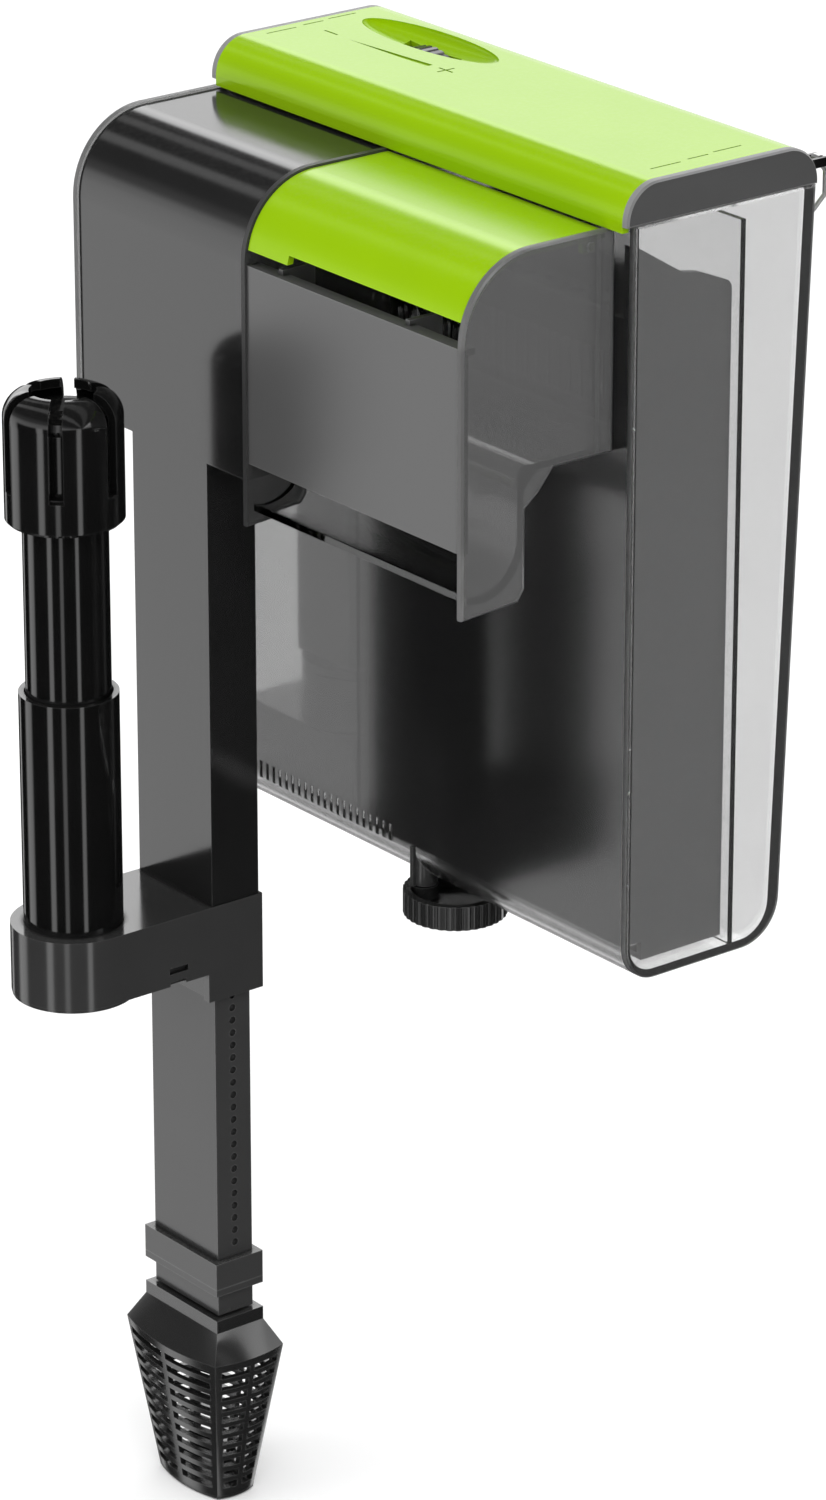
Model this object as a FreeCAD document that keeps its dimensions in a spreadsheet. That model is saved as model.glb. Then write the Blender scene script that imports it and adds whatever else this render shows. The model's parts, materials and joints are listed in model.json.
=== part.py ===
"""Hang on back aquarium filter, as a parametric FreeCAD document.

Frame: X runs along the tank, Y away from the water, Z up. The origin is the middle
of the underside that rests on the aquarium rim. Lengths are in millimetres.
"""

import FreeCAD, Part
import Sketcher
import math
import os
import re

doc = FreeCAD.newDocument("hang_on_back_filter")
sheet = doc.addObject("Spreadsheet::Sheet", "Sizes")

SIZES = {
    # media tank
    "half_length": 84.0, "end_wall": 2.2, "wall": 2.0, "rear_wall": 3.0,
    "tank_front": 12.5, "tank_rear": 70.5, "rear_draft": 7.5,
    "tank_floor": -140.5, "tank_rim": 58.8, "front_rise": 3.0,
    "front_corner": 9.5, "rear_corner": 12.0, "edge_break": 0.5,
    "divider_y": 47.0, "divider_thick": 1.6, "bay_wall_x": -26.0,
    # bridge over the rim
    "bridge_top": 57.1, "bridge_front": -34.7, "bridge_round": 21.7, "proud": 0.6,
    "bridge_floor": 2.0, "rest_front": -6.0,
    "shroud_right": -12.3, "shroud_foot": -21.9, "shroud_back": -19.0,
    # intake column
    "column_x": -44.0, "column_y": -26.55, "column_wide": 32.0, "column_deep": 15.1,
    "column_wall": 1.5, "column_foot": -168.0,
    # spout
    "spout_right": 76.4, "spout_plate": 2.0, "spout_foot": -33.8, "spout_back": -15.0,
    "panel_high": 35.1, "panel_low": -17.0, "lip_z": -30.0,
    "flap_edge": 41.5, "flap_rear": 10.4, "flap_thick": 1.8, "flap_pin_y": 5.5,
    "flap_pin_z": 53.4, "pin_radius": 1.2, "running_gap": 0.06, "small_gap": 0.3,
    # lid
    "lid_front": 10.0, "lid_rear": 71.0, "lid_foot": 59.0, "skirt_foot": 57.3, "lid_top": 69.5,
    "lid_front_round": 9.6, "lid_rear_round": 9.8, "bowl_x": -47.0, "bowl_y": 53.0,
    "bowl_long": 26.8, "bowl_wide": 7.6, "bowl_deep": 4.6, "slot_x": -49.0,
    "slot_wide": 21.4, "slot_deep": 7.0, "engraving": 0.35,
    # flow control
    "knob_y": 53.2, "knob_z": 51.0, "knob_radius": 16.0, "knob_thick": 5.2,
    "shaft_radius": 2.0, "vane_half": 9.2,
    # pump
    "pump_x": -49.0, "pump_y": 31.5, "housing_radius": 15.0, "housing_low": -112.6,
    "housing_high": -97.0, "well_radius": 8.0, "magnet_radius": 7.0,
    "pump_shaft": 1.5, "motor_top": -113.0, "motor_low": -138.2,
    # surface skimmer
    "skimmer_x": -44.2, "skimmer_y": -66.8, "cup_radius": 16.5, "arm_top": -144.2,
    "arm_low": -163.0, "sleeve_low": -171.0, "tube_outer": 13.0, "tube_inner": 11.5,
    "tube_rim": -80.5, "float_radius": 11.1, "float_wall": 1.4, "float_low": -113.0,
    "crown_low": -34.0, "crown_high": 0.5, "crown_radius": 15.4, "crown_wall": 2.4,
    "crown_round": 6.8, "crown_slot": 3.6, "crown_slots": 6, "crown_turn": -43.0,
    # intake tube and strainer
    "intake_wide": 28.2, "intake_deep": 11.4, "intake_wall": 1.4, "intake_top": -104.0,
    "collar_high": -248.0, "collar_low": -257.5, "socket_low": -264.9,
    "collar_proud": 2.0, "notch_pitch": 3.6, "notches": 30, "notch_radius": 1.0,
    "flange_low": -268.4, "strainer_rim": -275.6, "strainer_foot": -320.0,
    "rim_half_x": 20.0, "rim_half_y": 11.4, "foot_half_x": 13.0, "foot_half_y": 6.0,
    "spigot_long": 10.0, "spigot_wall": 1.2,
    "side_bow": 3.2, "slot_rows": 11, "slot_pitch": 3.68, "slot_high": 2.1,
    # levelling wheel
    "cam_x": 3.8, "cam_y": 21.5, "cam_radius": 13.75, "cam_top": -142.6,
    "cam_low": -149.2, "cam_pin_x": -2.2, "cam_pin_y": 16.1, "cam_pin": 1.8,
    # media basket
    "basket_left": -23.4, "basket_right": 79.6, "basket_front": 15.1,
    "basket_rear": 46.4, "basket_low": -136.5, "basket_rim": 34.0, "basket_wall": 1.6,
}
for row, (alias, value) in enumerate(SIZES.items(), start=1):
    sheet.set("A%d" % row, alias.replace("_", " "))
    sheet.set("B%d" % row, str(value))
    sheet.setAlias("B%d" % row, alias)
doc.recompute()

sub_parts = []
WORD = re.compile(r"[a-z][a-z_]*")


def formula(text):
    """An expression in which every alias is read from the sheet."""
    return WORD.sub(lambda m: "Sizes." + m.group(0) if m.group(0) in SIZES else m.group(0), text)


def size(alias):
    return float(sheet.get(alias))


def bind(item, prop, text):
    item.setExpression(prop, formula(text))


def keep(item, node):
    """Marks a finished sub-part and gives it its node name."""
    item.Label = node
    sub_parts.append(item)
    return item


def block(name, x, y, z):
    """A box between pairs of expressions along each axis."""
    item = doc.addObject("Part::Box", name)
    for prop, place, (low, high) in zip(("Length", "Width", "Height"), "xyz", (x, y, z)):
        bind(item, prop, "(%s) - (%s)" % (high, low))
        bind(item, "Placement.Base." + place, low)
    return item


TURNS = {
    "X": FreeCAD.Rotation(FreeCAD.Vector(0, 1, 0), 90),
    "Y": FreeCAD.Rotation(FreeCAD.Vector(1, 0, 0), -90),
    "Z": FreeCAD.Rotation(),
}


def rod(name, start, axis, radius, long):
    """A cylinder from start, a triple of expressions, along an axis."""
    item = doc.addObject("Part::Cylinder", name)
    item.Placement = FreeCAD.Placement(FreeCAD.Vector(), TURNS[axis])
    bind(item, "Radius", radius)
    bind(item, "Height", long)
    for place, text in zip("xyz", start):
        bind(item, "Placement.Base." + place, text)
    return item


def fuse(name, *items):
    item = doc.addObject("Part::MultiFuse", name)
    item.Shapes = list(items)
    item.Refine = True
    return item


def cut(name, base, *tools):
    tool = tools[0] if len(tools) == 1 else fuse(name + "_tools", *tools)
    item = doc.addObject("Part::Cut", name)
    item.Base = base
    item.Tool = tool
    item.Refine = True
    return item


def origin_plane(body, role):
    return next(f for f in body.Origin.OriginFeatures if f.Role == role)


def outline(name, role, corners, start, depth):
    """A body padded from a closed outline of straight sides on an origin plane."""
    body = doc.addObject("PartDesign::Body", name)
    sketch = body.newObject("Sketcher::SketchObject", name + "_sketch")
    sketch.AttachmentSupport = [(origin_plane(body, role), "")]
    sketch.MapMode = "FlatFace"
    bind(sketch, "AttachmentOffset.Base.z", start)
    count = len(corners)
    turn = 2 * math.pi / count
    guess = [FreeCAD.Vector(10 * math.cos(i * turn), 10 * math.sin(i * turn), 0) for i in range(count)]
    for i in range(count):
        sketch.addGeometry(Part.LineSegment(guess[i], guess[(i + 1) % count]), False)
    for i in range(count):
        sketch.addConstraint(Sketcher.Constraint("Coincident", i, 2, (i + 1) % count, 1))
    for i, corner in enumerate(corners):
        for kind, text in zip(("DistanceX", "DistanceY"), corner):
            number = sketch.addConstraint(Sketcher.Constraint(kind, -1, 1, i, 1, 1.0))
            bind(sketch, "Constraints[%d]" % number, text)
    pad = body.newObject("PartDesign::Pad", name + "_pad")
    pad.Profile = sketch
    bind(pad, "Length", depth)
    doc.recompute()
    return body


def near(a, b):
    return abs(a - b) < 1e-3


def round_corners(body, rounds):
    """Fillets the edges along X that stand at the given (y, z) corners."""
    for number, (y, z, radius) in enumerate(rounds):
        names = []
        for index, edge in enumerate(body.Shape.Edges, start=1):
            if all(near(v.Y, y) and near(v.Z, z) for v in edge.Vertexes):
                names.append("Edge%d" % index)
        base = body.Tip
        fillet = body.newObject("PartDesign::Fillet", "%s_round_%d" % (body.Name, number))
        fillet.Base = (base, names)
        bind(fillet, "Radius", radius)
        body.Tip = fillet
        doc.recompute()
    return body


def break_edges(body, x):
    """Chamfers the outer edges of the face that lies at x."""
    names = []
    for index, edge in enumerate(body.Shape.Edges, start=1):
        if all(near(v.X, x) for v in edge.Vertexes):
            names.append("Edge%d" % index)
    base = body.Tip
    chamfer = body.newObject("PartDesign::Chamfer", body.Name + "_break")
    chamfer.Base = (base, names)
    bind(chamfer, "Size", "edge_break")
    body.Tip = chamfer
    doc.recompute()
    return body


def made(node, shape):
    """A sub-part whose shape comes from Part's own functions and the sheet's sizes."""
    item = doc.addObject("Part::Feature", node)
    item.Shape = shape
    item.Placement = FreeCAD.Placement()
    return keep(item, node)


# ---------------------------------------------------------------- media tank
def tank_outline(name, inset, rear, start, depth):
    """The tank's side view, drafted at the rear, shrunk by an inset."""
    front, floor = "tank_front + " + inset, "tank_floor + " + inset
    corners = [(front, "tank_rim"), (front, floor), ("tank_rear - rear_draft - " + rear, floor),
               ("tank_rear - " + rear, "tank_rim")]
    body = outline(name, "YZ_Plane", corners, start, depth)
    shrink, back = (0.0, 0.0) if inset == "0" else (size("wall"), size("rear_wall"))
    y_front, z_floor = size("tank_front") + shrink, size("tank_floor") + shrink
    y_back = size("tank_rear") - size("rear_draft") - back
    return round_corners(body, [(y_front, z_floor, "front_corner - " + inset),
                                (y_back, z_floor, "rear_corner - " + rear)])


def tank():
    start, depth = "-half_length + end_wall", "2 * (half_length - end_wall)"
    outer = tank_outline("tank_outer", "0", "0", start, depth)
    inner = tank_outline("tank_inner", "wall", "rear_wall", start, depth)
    rise = block("front_rise_strip", (start, "half_length - end_wall"),
                 ("tank_front", "tank_front + wall"), ("tank_rim", "tank_rim + front_rise"))
    weir = block("weir_opening", ("shroud_right + spout_plate + 1", "spout_right - spout_plate - 1"),
                 ("tank_front - 5", "tank_front + wall + 1"), ("6", "50"))
    suction = block("suction_opening", ("-60", "-38"),
                    ("tank_front - 5", "tank_front + wall + 1"), ("38", "54"))
    comb = []
    for number in range(21):
        slit = block("comb_slit_%d" % number, ("-69 + %s" % (2.8 * number), "-67.8 + %s" % (2.8 * number)),
                     ("tank_front - 1", "tank_front + 0.9"), ("tank_floor + 8.2", "tank_floor + 13"))
        comb.append(slit)
    shell = cut("tank_shell_solid", fuse("tank_walls", cut("tank_cup", outer, inner), rise),
                weir, suction, *comb)
    keep(shell, "tank_shell")
    for side, begin in (("left", "-half_length"), ("right", "half_length - end_wall")):
        plate = tank_outline("end_%s" % side, "0", "0", begin, "end_wall")
        x = -size("half_length") if side == "left" else size("half_length")
        keep(break_edges(plate, x), "tank_end_%s" % side)
    divider = block("divider_plate", ("bay_wall_x", "half_length - end_wall"),
                    ("divider_y", "divider_y + divider_thick"), ("tank_floor + wall", "54"))
    slots = [block("divider_slot_%d" % i, ("%d" % (-10 + 22 * i), "%d" % (4 + 22 * i)),
                   ("divider_y - 1", "divider_y + 3"), ("-126", "-116")) for i in range(4)]
    keep(cut("chamber_divider_solid", divider, *slots), "chamber_divider")
    wall = block("bay_plate", ("bay_wall_x - divider_thick", "bay_wall_x"),
                 ("tank_front + wall", "divider_y + divider_thick"), ("-128", "54"))
    port = block("bay_port", ("bay_wall_x - 3", "bay_wall_x + 1"), ("27", "36"), ("-110", "-101"))
    keep(cut("pump_bay_wall_solid", wall, port), "pump_bay_wall")
    comb_plate = block("weir_plate",
                       ("shroud_right + spout_plate + 1.3", "spout_right - spout_plate - 1.3"),
                       ("tank_front + 0.2", "tank_front + wall - 0.2"), ("6", "24"))
    teeth = [block("weir_gap_%d" % i, ("%s" % (-6.5 + 4.2 * i), "%s" % (-3.9 + 4.2 * i)),
                   ("tank_front - 1", "tank_front + 4"), ("10", "25")) for i in range(19)]
    keep(cut("weir_comb_solid", comb_plate, *teeth), "weir_comb")


# -------------------------------------------------------- bridge and column
def bridge_outline(name, step, foot, start, depth):
    """The bridge's side view: flat top, round front, inset by a step."""
    corners = [("tank_front", "bridge_top - " + step), ("bridge_front + " + step, "bridge_top - " + step),
               ("bridge_front + " + step, foot), ("shroud_back", foot), ("shroud_back", "-6"),
               ("-13", "0"), ("tank_front", "0")]
    return outline(name, "YZ_Plane", corners, start, depth)


def bridge():
    start, depth = "-half_length + end_wall", "shroud_right + half_length - end_wall"
    skin = bridge_outline("shroud_skin", "proud", "shroud_foot", start, depth)
    top, front = size("bridge_top") - size("proud"), size("bridge_front") + size("proud")
    round_corners(skin, [(front, top, "bridge_round - proud")])
    hollow = outline("shroud_hollow", "YZ_Plane", [
        ("tank_front + 1", "bridge_top - proud - wall"),
        ("bridge_front + proud + wall", "bridge_top - proud - wall"),
        ("bridge_front + proud + wall", "shroud_foot + wall"), ("shroud_back - wall", "shroud_foot + wall"),
        ("shroud_back - wall", "-4"), ("-14", "bridge_floor"), ("tank_front + 1", "bridge_floor")],
        start, depth)
    round_corners(hollow, [(front + size("wall"), top - size("wall"), "bridge_round - proud - wall")])
    left, right = "column_x - column_wide / 2", "column_x + column_wide / 2"
    column = block("column_outer", (left, right), ("bridge_front + proud", "shroud_back"),
                   ("column_foot", "shroud_foot + 1"))
    bore = block("column_bore", (left + " + column_wall", right + " - column_wall"),
                 ("bridge_front + proud + column_wall", "shroud_back - column_wall"),
                 ("column_foot - 1", "shroud_foot + wall + 1"))
    shroud = cut("shroud_solid", fuse("shroud_walls", skin, column), hollow, bore)
    keep(shroud, "bridge_shroud")
    rim = bridge_outline("shroud_end", "0", "shroud_foot", "-half_length", "end_wall")
    round_corners(rim, [(size("bridge_front"), size("bridge_top"), "bridge_round")])
    keep(break_edges(rim, -size("half_length")), "shroud_end_plate")


# -------------------------------------------------------------------- spout
def spout_plate(node, start, outer_x, pin_from):
    corners = [("tank_front", "bridge_top"), ("bridge_front", "bridge_top"),
               ("bridge_front", "spout_foot"), ("spout_back - 2", "spout_foot + 1.2"),
               ("spout_back", "spout_foot + 4"), ("spout_back", "-9"), ("rest_front - 4.6", "-5.4"),
               ("rest_front", "0"), ("tank_front", "0")]
    plate = outline(node + "_body", "YZ_Plane", corners, start, "spout_plate")
    round_corners(plate, [(size("bridge_front"), size("bridge_top"), "bridge_round")])
    break_edges(plate, outer_x)
    hole = rod(node + "_pin_hole", (pin_from, "flap_pin_y", "flap_pin_z"), "X",
               "pin_radius + running_gap", "1.5")
    keep(cut(node + "_solid", plate, hole), node)


def spout():
    inside_left, inside_right = "shroud_right + spout_plate", "spout_right - spout_plate"
    spout_plate("spout_plate_left", "shroud_right", size("shroud_right"), inside_left + " - 1.5")
    spout_plate("spout_plate_right", "spout_right - spout_plate", size("spout_right"), inside_right)
    panel = block("panel_face", (inside_left, inside_right),
                  ("bridge_front + proud", "bridge_front + proud + wall"), ("panel_low", "panel_high"))
    ribs = [block("panel_rib_%d" % i, (x, x + " + 1.6"), ("bridge_front + proud + wall", "-22"),
                  ("panel_low + 4", "panel_high + 1.4")) for i, x in enumerate(("0.4", "51"))]
    ledge = block("panel_ledge", (inside_left, inside_right),
                  ("bridge_front + proud + wall", "bridge_front + proud + 4"),
                  ("panel_high - 1.6", "panel_high"))
    keep(fuse("front_panel_solid", panel, ledge, *ribs), "spout_front_panel")
    chute()
    flap()


def chute():
    """The floor on the rim, then a curved slide down behind the panel to the lip."""
    left, right = size("shroud_right") + size("spout_plate"), size("spout_right") - size("spout_plate")
    thick, lip = 1.8, size("lip_z")
    back, front = size("spout_back") + 0.2, size("bridge_front") + 0.9
    sweep = 15.0

    def arc(a, b, c):
        return Part.Arc(*[FreeCAD.Vector(left, y, z) for y, z in (a, b, c)]).toShape()

    def line(a, b):
        return Part.LineSegment(FreeCAD.Vector(left, *a), FreeCAD.Vector(left, *b)).toShape()

    half = math.sqrt(0.5)
    floor_end = (-13.0, thick)
    shoulder = (back - 2.0 + 2.0 * (1 - half), thick - 2.0 + 2.0 * half)
    drop_top, drop_low = (back - 2.0, thick - 4.0), (back - 2.0, lip + sweep - thick)
    dip = (front + 4.0 + (back - 6.0 - front) * 0.62, lip + 3.9)
    lip_top, lip_low = (front + 1.4, lip + thick), (front + 1.4, lip)
    under = (front + 4.0 + (back - 4.0 - front) * 0.62, lip + 1.6)
    drop_back, rise = (back, lip + sweep - thick), (back, -4.5)
    heel = (-10.4, 0.0)
    edges = [
        line((size("tank_front"), thick), floor_end), arc(floor_end, shoulder, drop_top),
        line(drop_top, drop_low), arc(drop_low, dip, lip_top), line(lip_top, lip_low),
        arc(lip_low, under, drop_back), line(drop_back, rise), line(rise, heel),
        line(heel, (size("tank_front"), 0.0)), line((size("tank_front"), 0.0), (size("tank_front"), thick)),
    ]
    face = Part.Face(Part.Wire(edges))
    made("spout_chute", face.extrude(FreeCAD.Vector(right - left, 0, 0)))


def flap():
    left = "shroud_right + spout_plate + small_gap"
    wide = "spout_right - shroud_right - 2 * spout_plate - 2 * small_gap"
    top, front = size("bridge_top") - size("proud"), size("bridge_front") + size("proud")
    skins = []
    for name, inset in (("flap_outer", "0"), ("flap_inner", "flap_thick")):
        corners = [("flap_rear", "bridge_top - proud - " + inset),
                   ("bridge_front + proud + " + inset, "bridge_top - proud - " + inset),
                   ("bridge_front + proud + " + inset, "30"), ("flap_rear", "30")]
        step = 0.0 if inset == "0" else size("flap_thick")
        body = outline(name, "YZ_Plane", corners, left, wide)
        skins.append(round_corners(body, [(front + step, top - step, "bridge_round - proud - " + inset)]))
    keep_off = block("flap_below", ("6", "spout_right"), ("-40", "20"), ("20", "flap_edge"))
    tab_off = block("flap_below_tab", ("shroud_right", "7"), ("-40", "20"), ("20", "flap_edge - 2.4"))
    panel = cut("flap_panel", skins[0], skins[1], keep_off, tab_off)
    pins = []
    for name, start, run in (("flap_pin_left", "shroud_right + spout_plate - 1.2", "3.5"),
                             ("flap_pin_right", "spout_right - spout_plate - 2.3", "3.5")):
        pins.append(rod(name, (start, "flap_pin_y", "flap_pin_z"), "X", "pin_radius", run))
    ears = [block("flap_ear_%d" % i, x, ("flap_pin_y - 2", "flap_pin_y + 2"),
                  ("flap_pin_z - 1.6", "bridge_top - 1.5"))
            for i, x in enumerate(((left, left + " + 1.8"),
                                   ("spout_right - spout_plate - small_gap - 1.8",
                                    "spout_right - spout_plate - small_gap")))]
    keep(fuse("flap_solid", panel, *pins, *ears), "spout_lid")


# ---------------------------------------------------------------------- lid
def lid_outline(name, inset, foot, start, depth):
    corners = [("lid_front + " + inset, foot), ("lid_front + " + inset, "lid_top - " + inset),
               ("lid_rear - " + inset, "lid_top - " + inset), ("lid_rear - " + inset, foot)]
    body = outline(name, "YZ_Plane", corners, start, depth)
    step = 0.0 if inset == "0" else size("wall")
    top = size("lid_top") - step
    return round_corners(body, [(size("lid_front") + step, top, "lid_front_round - " + inset),
                                (size("lid_rear") - step, top, "lid_rear_round - " + inset)])


def bowl(name, grow):
    item = doc.addObject("Part::Ellipsoid", name)
    bind(item, "Radius2", "bowl_long + " + grow)
    bind(item, "Radius3", "bowl_wide + " + grow)
    bind(item, "Radius1", "bowl_deep + " + grow)
    for place, text in zip("xyz", ("bowl_x", "bowl_y", "lid_top")):
        bind(item, "Placement.Base." + place, text)
    return item


def lid():
    start, depth = "-half_length + end_wall", "2 * (half_length - end_wall)"
    outer = lid_outline("lid_outer", "0", "lid_foot", start, depth)
    inner = lid_outline("lid_inner", "wall", "lid_foot - 1", start, depth)
    shell = cut("lid_shell", outer, inner)
    above = block("above_lid", ("-84", "0"), ("20", "80"), ("lid_top - 0.4", "lid_top + 20"))
    dish = cut("bowl_wall", bowl("bowl_outer", "1.5"), above)
    skirt = block("front_skirt", (start, "half_length - end_wall"), ("lid_front", "lid_front + wall"),
                  ("skirt_foot", "lid_foot + 1"))
    slot = block("knob_slot", ("slot_x - slot_wide / 2", "slot_x + slot_wide / 2"),
                 ("knob_y - slot_deep / 2", "knob_y + slot_deep / 2"), ("lid_top - 8", "lid_top + 1"))
    floor = ("lid_top - engraving", "lid_top + 1")
    marks = [block("minus_mark", ("-71.5", "-66"), ("37.3", "37.9"), floor),
             block("plus_mark_a", ("-25.6", "-20"), ("38.7", "39.3"), floor),
             block("plus_mark_b", ("-23.1", "-22.5"), ("36.2", "41.8"), floor),
             outline("taper_mark", "XY_Plane", [("-61", "37.2"), ("-28.6", "37.2"), ("-28.6", "39.4")],
                     "lid_top - engraving", "1")]
    for side, x in (("left", -78.6), ("right", 75.2)):
        for number, y in enumerate((24.0, 36.4, 45.2)):
            long = (9.6, 6.6, 9.0)[number]
            shift = -0.7 * number
            marks.append(block("dash_%s_%d" % (side, number), (str(x + shift), str(x + shift + 0.5)),
                               (str(y), str(y + long)), floor))
    main = cut("lid_solid", fuse("lid_with_bowl", shell, skirt, dish), bowl("bowl_cut", "0"), slot, *marks)
    keep(main, "main_lid")
    for side, begin in (("left", "-half_length"), ("right", "half_length - end_wall")):
        cap = lid_outline("lid_cap_%s" % side, "0", "lid_foot", begin, "end_wall")
        x = -size("half_length") if side == "left" else size("half_length")
        keep(break_edges(cap, x), "lid_end_%s" % side)


# -------------------------------------------------------------- flow control
def flow_control():
    x, y, z = "slot_x", "knob_y - knob_thick / 2", "knob_z"
    wheel = rod("knob_disc", (x, y, z), "Y", "knob_radius", "knob_thick")
    flutes = []
    for number in range(40):
        angle = number * 9
        place = ("slot_x + (knob_radius + 0.5) * cos(%d deg)" % angle, "knob_y - knob_thick / 2 - 1",
                 "knob_z + (knob_radius + 0.5) * sin(%d deg)" % angle)
        flutes.append(rod("knob_flute_%d" % number, place, "Y", "0.85", "knob_thick + 2"))
    bore = rod("knob_bore", (x, y, z), "Y", "shaft_radius", "knob_thick")
    keep(cut("knob_solid", wheel, bore, *flutes), "flow_thumbwheel")
    keep(rod("shaft_solid", (x, "20", z), "Y", "shaft_radius", "knob_y + knob_thick / 2 + 3 - 20"),
         "valve_shaft")
    vane = block("vane_plate", ("slot_x - vane_half", "slot_x + vane_half"), ("20.4", "42"),
                 ("knob_z - 0.9", "knob_z + 0.9"))
    hub = rod("vane_hub", (x, "20.4", z), "Y", "3.4", "21.6")
    hole = rod("vane_hole", (x, "20", z), "Y", "shaft_radius", "23")
    keep(cut("vane_solid", fuse("vane_blank", vane, hub), hole), "valve_vane")


def suction_duct():
    head = block("duct_head", ("-66", "-32"), ("tank_front + wall + 0.2", "46.4"), ("34", "62.4"))
    riser = block("duct_riser", ("-60", "-38"), ("20", "43"), ("-94", "35"))
    room = block("duct_room", ("-64.2", "-33.8"), ("tank_front", "44.6"), ("36", "60.8"))
    shaftway = block("duct_shaftway", ("-58.2", "-39.8"), ("21.8", "41.2"), ("-92", "37"))
    bore = rod("duct_bore", ("slot_x", "40", "knob_z"), "Y", "shaft_radius + running_gap", "10")
    inlet = rod("duct_inlet", ("pump_x", "pump_y", "-95"), "Z", "9.5", "4")
    keep(cut("duct_solid", fuse("duct_blank", head, riser), room, shaftway, bore, inlet), "suction_duct")


# --------------------------------------------------------------------- pump
def pump():
    at = ("pump_x", "pump_y")
    ring = rod("volute_outer", at + ("housing_low",), "Z", "housing_radius", "housing_high - housing_low")
    chamber = rod("volute_room", at + ("housing_low + 2",), "Z", "housing_radius - 2.4", "20")
    throat = rod("volute_throat", at + ("housing_low - 1",), "Z", "well_radius", "5")
    nozzle = block("nozzle_outer", ("pump_x + 9", "bay_wall_x - divider_thick"), ("26", "37"),
                   ("-111", "-100"))
    bore = block("nozzle_bore", ("pump_x + 8", "bay_wall_x"), ("27.6", "35.4"), ("-109.4", "-101.6"))
    keep(cut("volute_solid", fuse("volute_blank", ring, nozzle), chamber, throat, bore), "pump_housing")
    cover = rod("cover_disc", at + ("housing_high",), "Z", "housing_radius", "2.4")
    spigot = rod("cover_spigot", at + ("housing_high + 2.4",), "Z", "7.5", "6")
    eye = rod("cover_eye", at + ("housing_high - 1",), "Z", "6", "12")
    arm = block("cover_arm", ("pump_x - 7", "pump_x + 7"), ("pump_y - 1", "pump_y + 1"),
                ("housing_high", "housing_high + 2.4"))
    boss = rod("cover_boss", at + ("housing_high",), "Z", "4.4", "2.4")
    seat = rod("cover_seat", at + ("housing_high - 1",), "Z", "3.2", "6")
    rim = cut("cover_rim", fuse("cover_blank", cover, spigot), eye)
    keep(cut("cover_solid", fuse("cover_spider", rim, arm, boss), seat), "pump_cover")
    seal = doc.addObject("Part::Torus", "seal_ring")
    bind(seal, "Radius1", "8.5")
    bind(seal, "Radius2", "0.95")
    for place, text in zip("xyz", at + ("-92.9",)):
        bind(seal, "Placement.Base." + place, text)
    keep(seal, "inlet_o_ring")
    bush_low = rod("bush_low", at + ("motor_low + 2.2",), "Z", "4", "2")
    bush_high = rod("bush_high", at + ("housing_high",), "Z", "3.2", "2.4")
    for bush, node in ((bush_low, "shaft_bush_lower"), (bush_high, "shaft_bush_upper")):
        hole = rod(node + "_hole", at + ("motor_low",), "Z", "pump_shaft", "50")
        keep(cut(node + "_solid", bush, hole), node)
    keep(rod("pump_pin", at + ("motor_low + 2.4",), "Z", "pump_shaft",
             "housing_high + 2 - motor_low - 2.4"),
         "impeller_shaft")
    hub = rod("impeller_hub", at + ("housing_low - 1",), "Z", "4.2", "12.6")
    blades = []
    for number in range(6):
        blade = block("blade_%d" % number, ("2", "11"), ("-0.7", "0.7"),
                      ("housing_low + 3", "housing_high - 2.4"))
        turn = 60 * number
        about = FreeCAD.Rotation(FreeCAD.Vector(0, 0, 1), turn)
        blade.Placement = FreeCAD.Placement(FreeCAD.Vector(), about)
        bind(blade, "Placement.Base.x", "pump_x + 2 * cos(%d deg) + 0.7 * sin(%d deg)" % (turn, turn))
        bind(blade, "Placement.Base.y", "pump_y + 2 * sin(%d deg) - 0.7 * cos(%d deg)" % (turn, turn))
        bind(blade, "Placement.Base.z", "housing_low + 3")
        blades.append(blade)
    disc = rod("impeller_disc", at + ("housing_low + 2.6",), "Z", "11", "1.2")
    wheel_bore = rod("impeller_bore", at + ("motor_low",), "Z", "pump_shaft + running_gap", "60")
    keep(cut("impeller_solid", fuse("impeller_blank", hub, disc, *blades), wheel_bore), "impeller")
    magnet = rod("magnet_rod", at + ("motor_low + 4.6",), "Z", "magnet_radius",
                 "housing_low - 1 - motor_low - 4.6")
    magnet_bore = rod("magnet_bore", at + ("motor_low",), "Z", "pump_shaft + running_gap", "60")
    keep(cut("magnet_solid", magnet, magnet_bore), "rotor_magnet")
    motor()


def motor():
    block_body = block("motor_block", ("-80", "-33"), ("17.2", "46.4"), ("motor_low", "motor_top"))
    well = rod("rotor_well", ("pump_x", "pump_y", "motor_low + 2.2"), "Z", "well_radius", "40")
    room = block("coil_room", ("-78.4", "-60"), ("19", "44.6"), ("-136.4", "-115"))
    heel = block("motor_heel", ("-81", "-32"), ("16", "21.5"), ("motor_low - 1", "motor_low + 4.2"))
    keep(cut("motor_case_solid", block_body, well, room, heel), "motor_case")
    stack = block("core_stack", ("-77.6", "-60.4"), ("20", "43.6"), ("-130", "-121"))
    window = block("core_window", ("-72", "-60"), ("25", "38.6"), ("-131", "-120"))
    keep(cut("core_solid", stack, window), "motor_core")
    winding = block("coil_outer", ("-78", "-66.5"), ("25.6", "38"), ("-135", "-116"))
    leg = block("coil_hole", ("-77.8", "-71.8"), ("25", "39"), ("-130.2", "-120.8"))
    keep(cut("coil_solid", winding, leg), "motor_coil")


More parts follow.
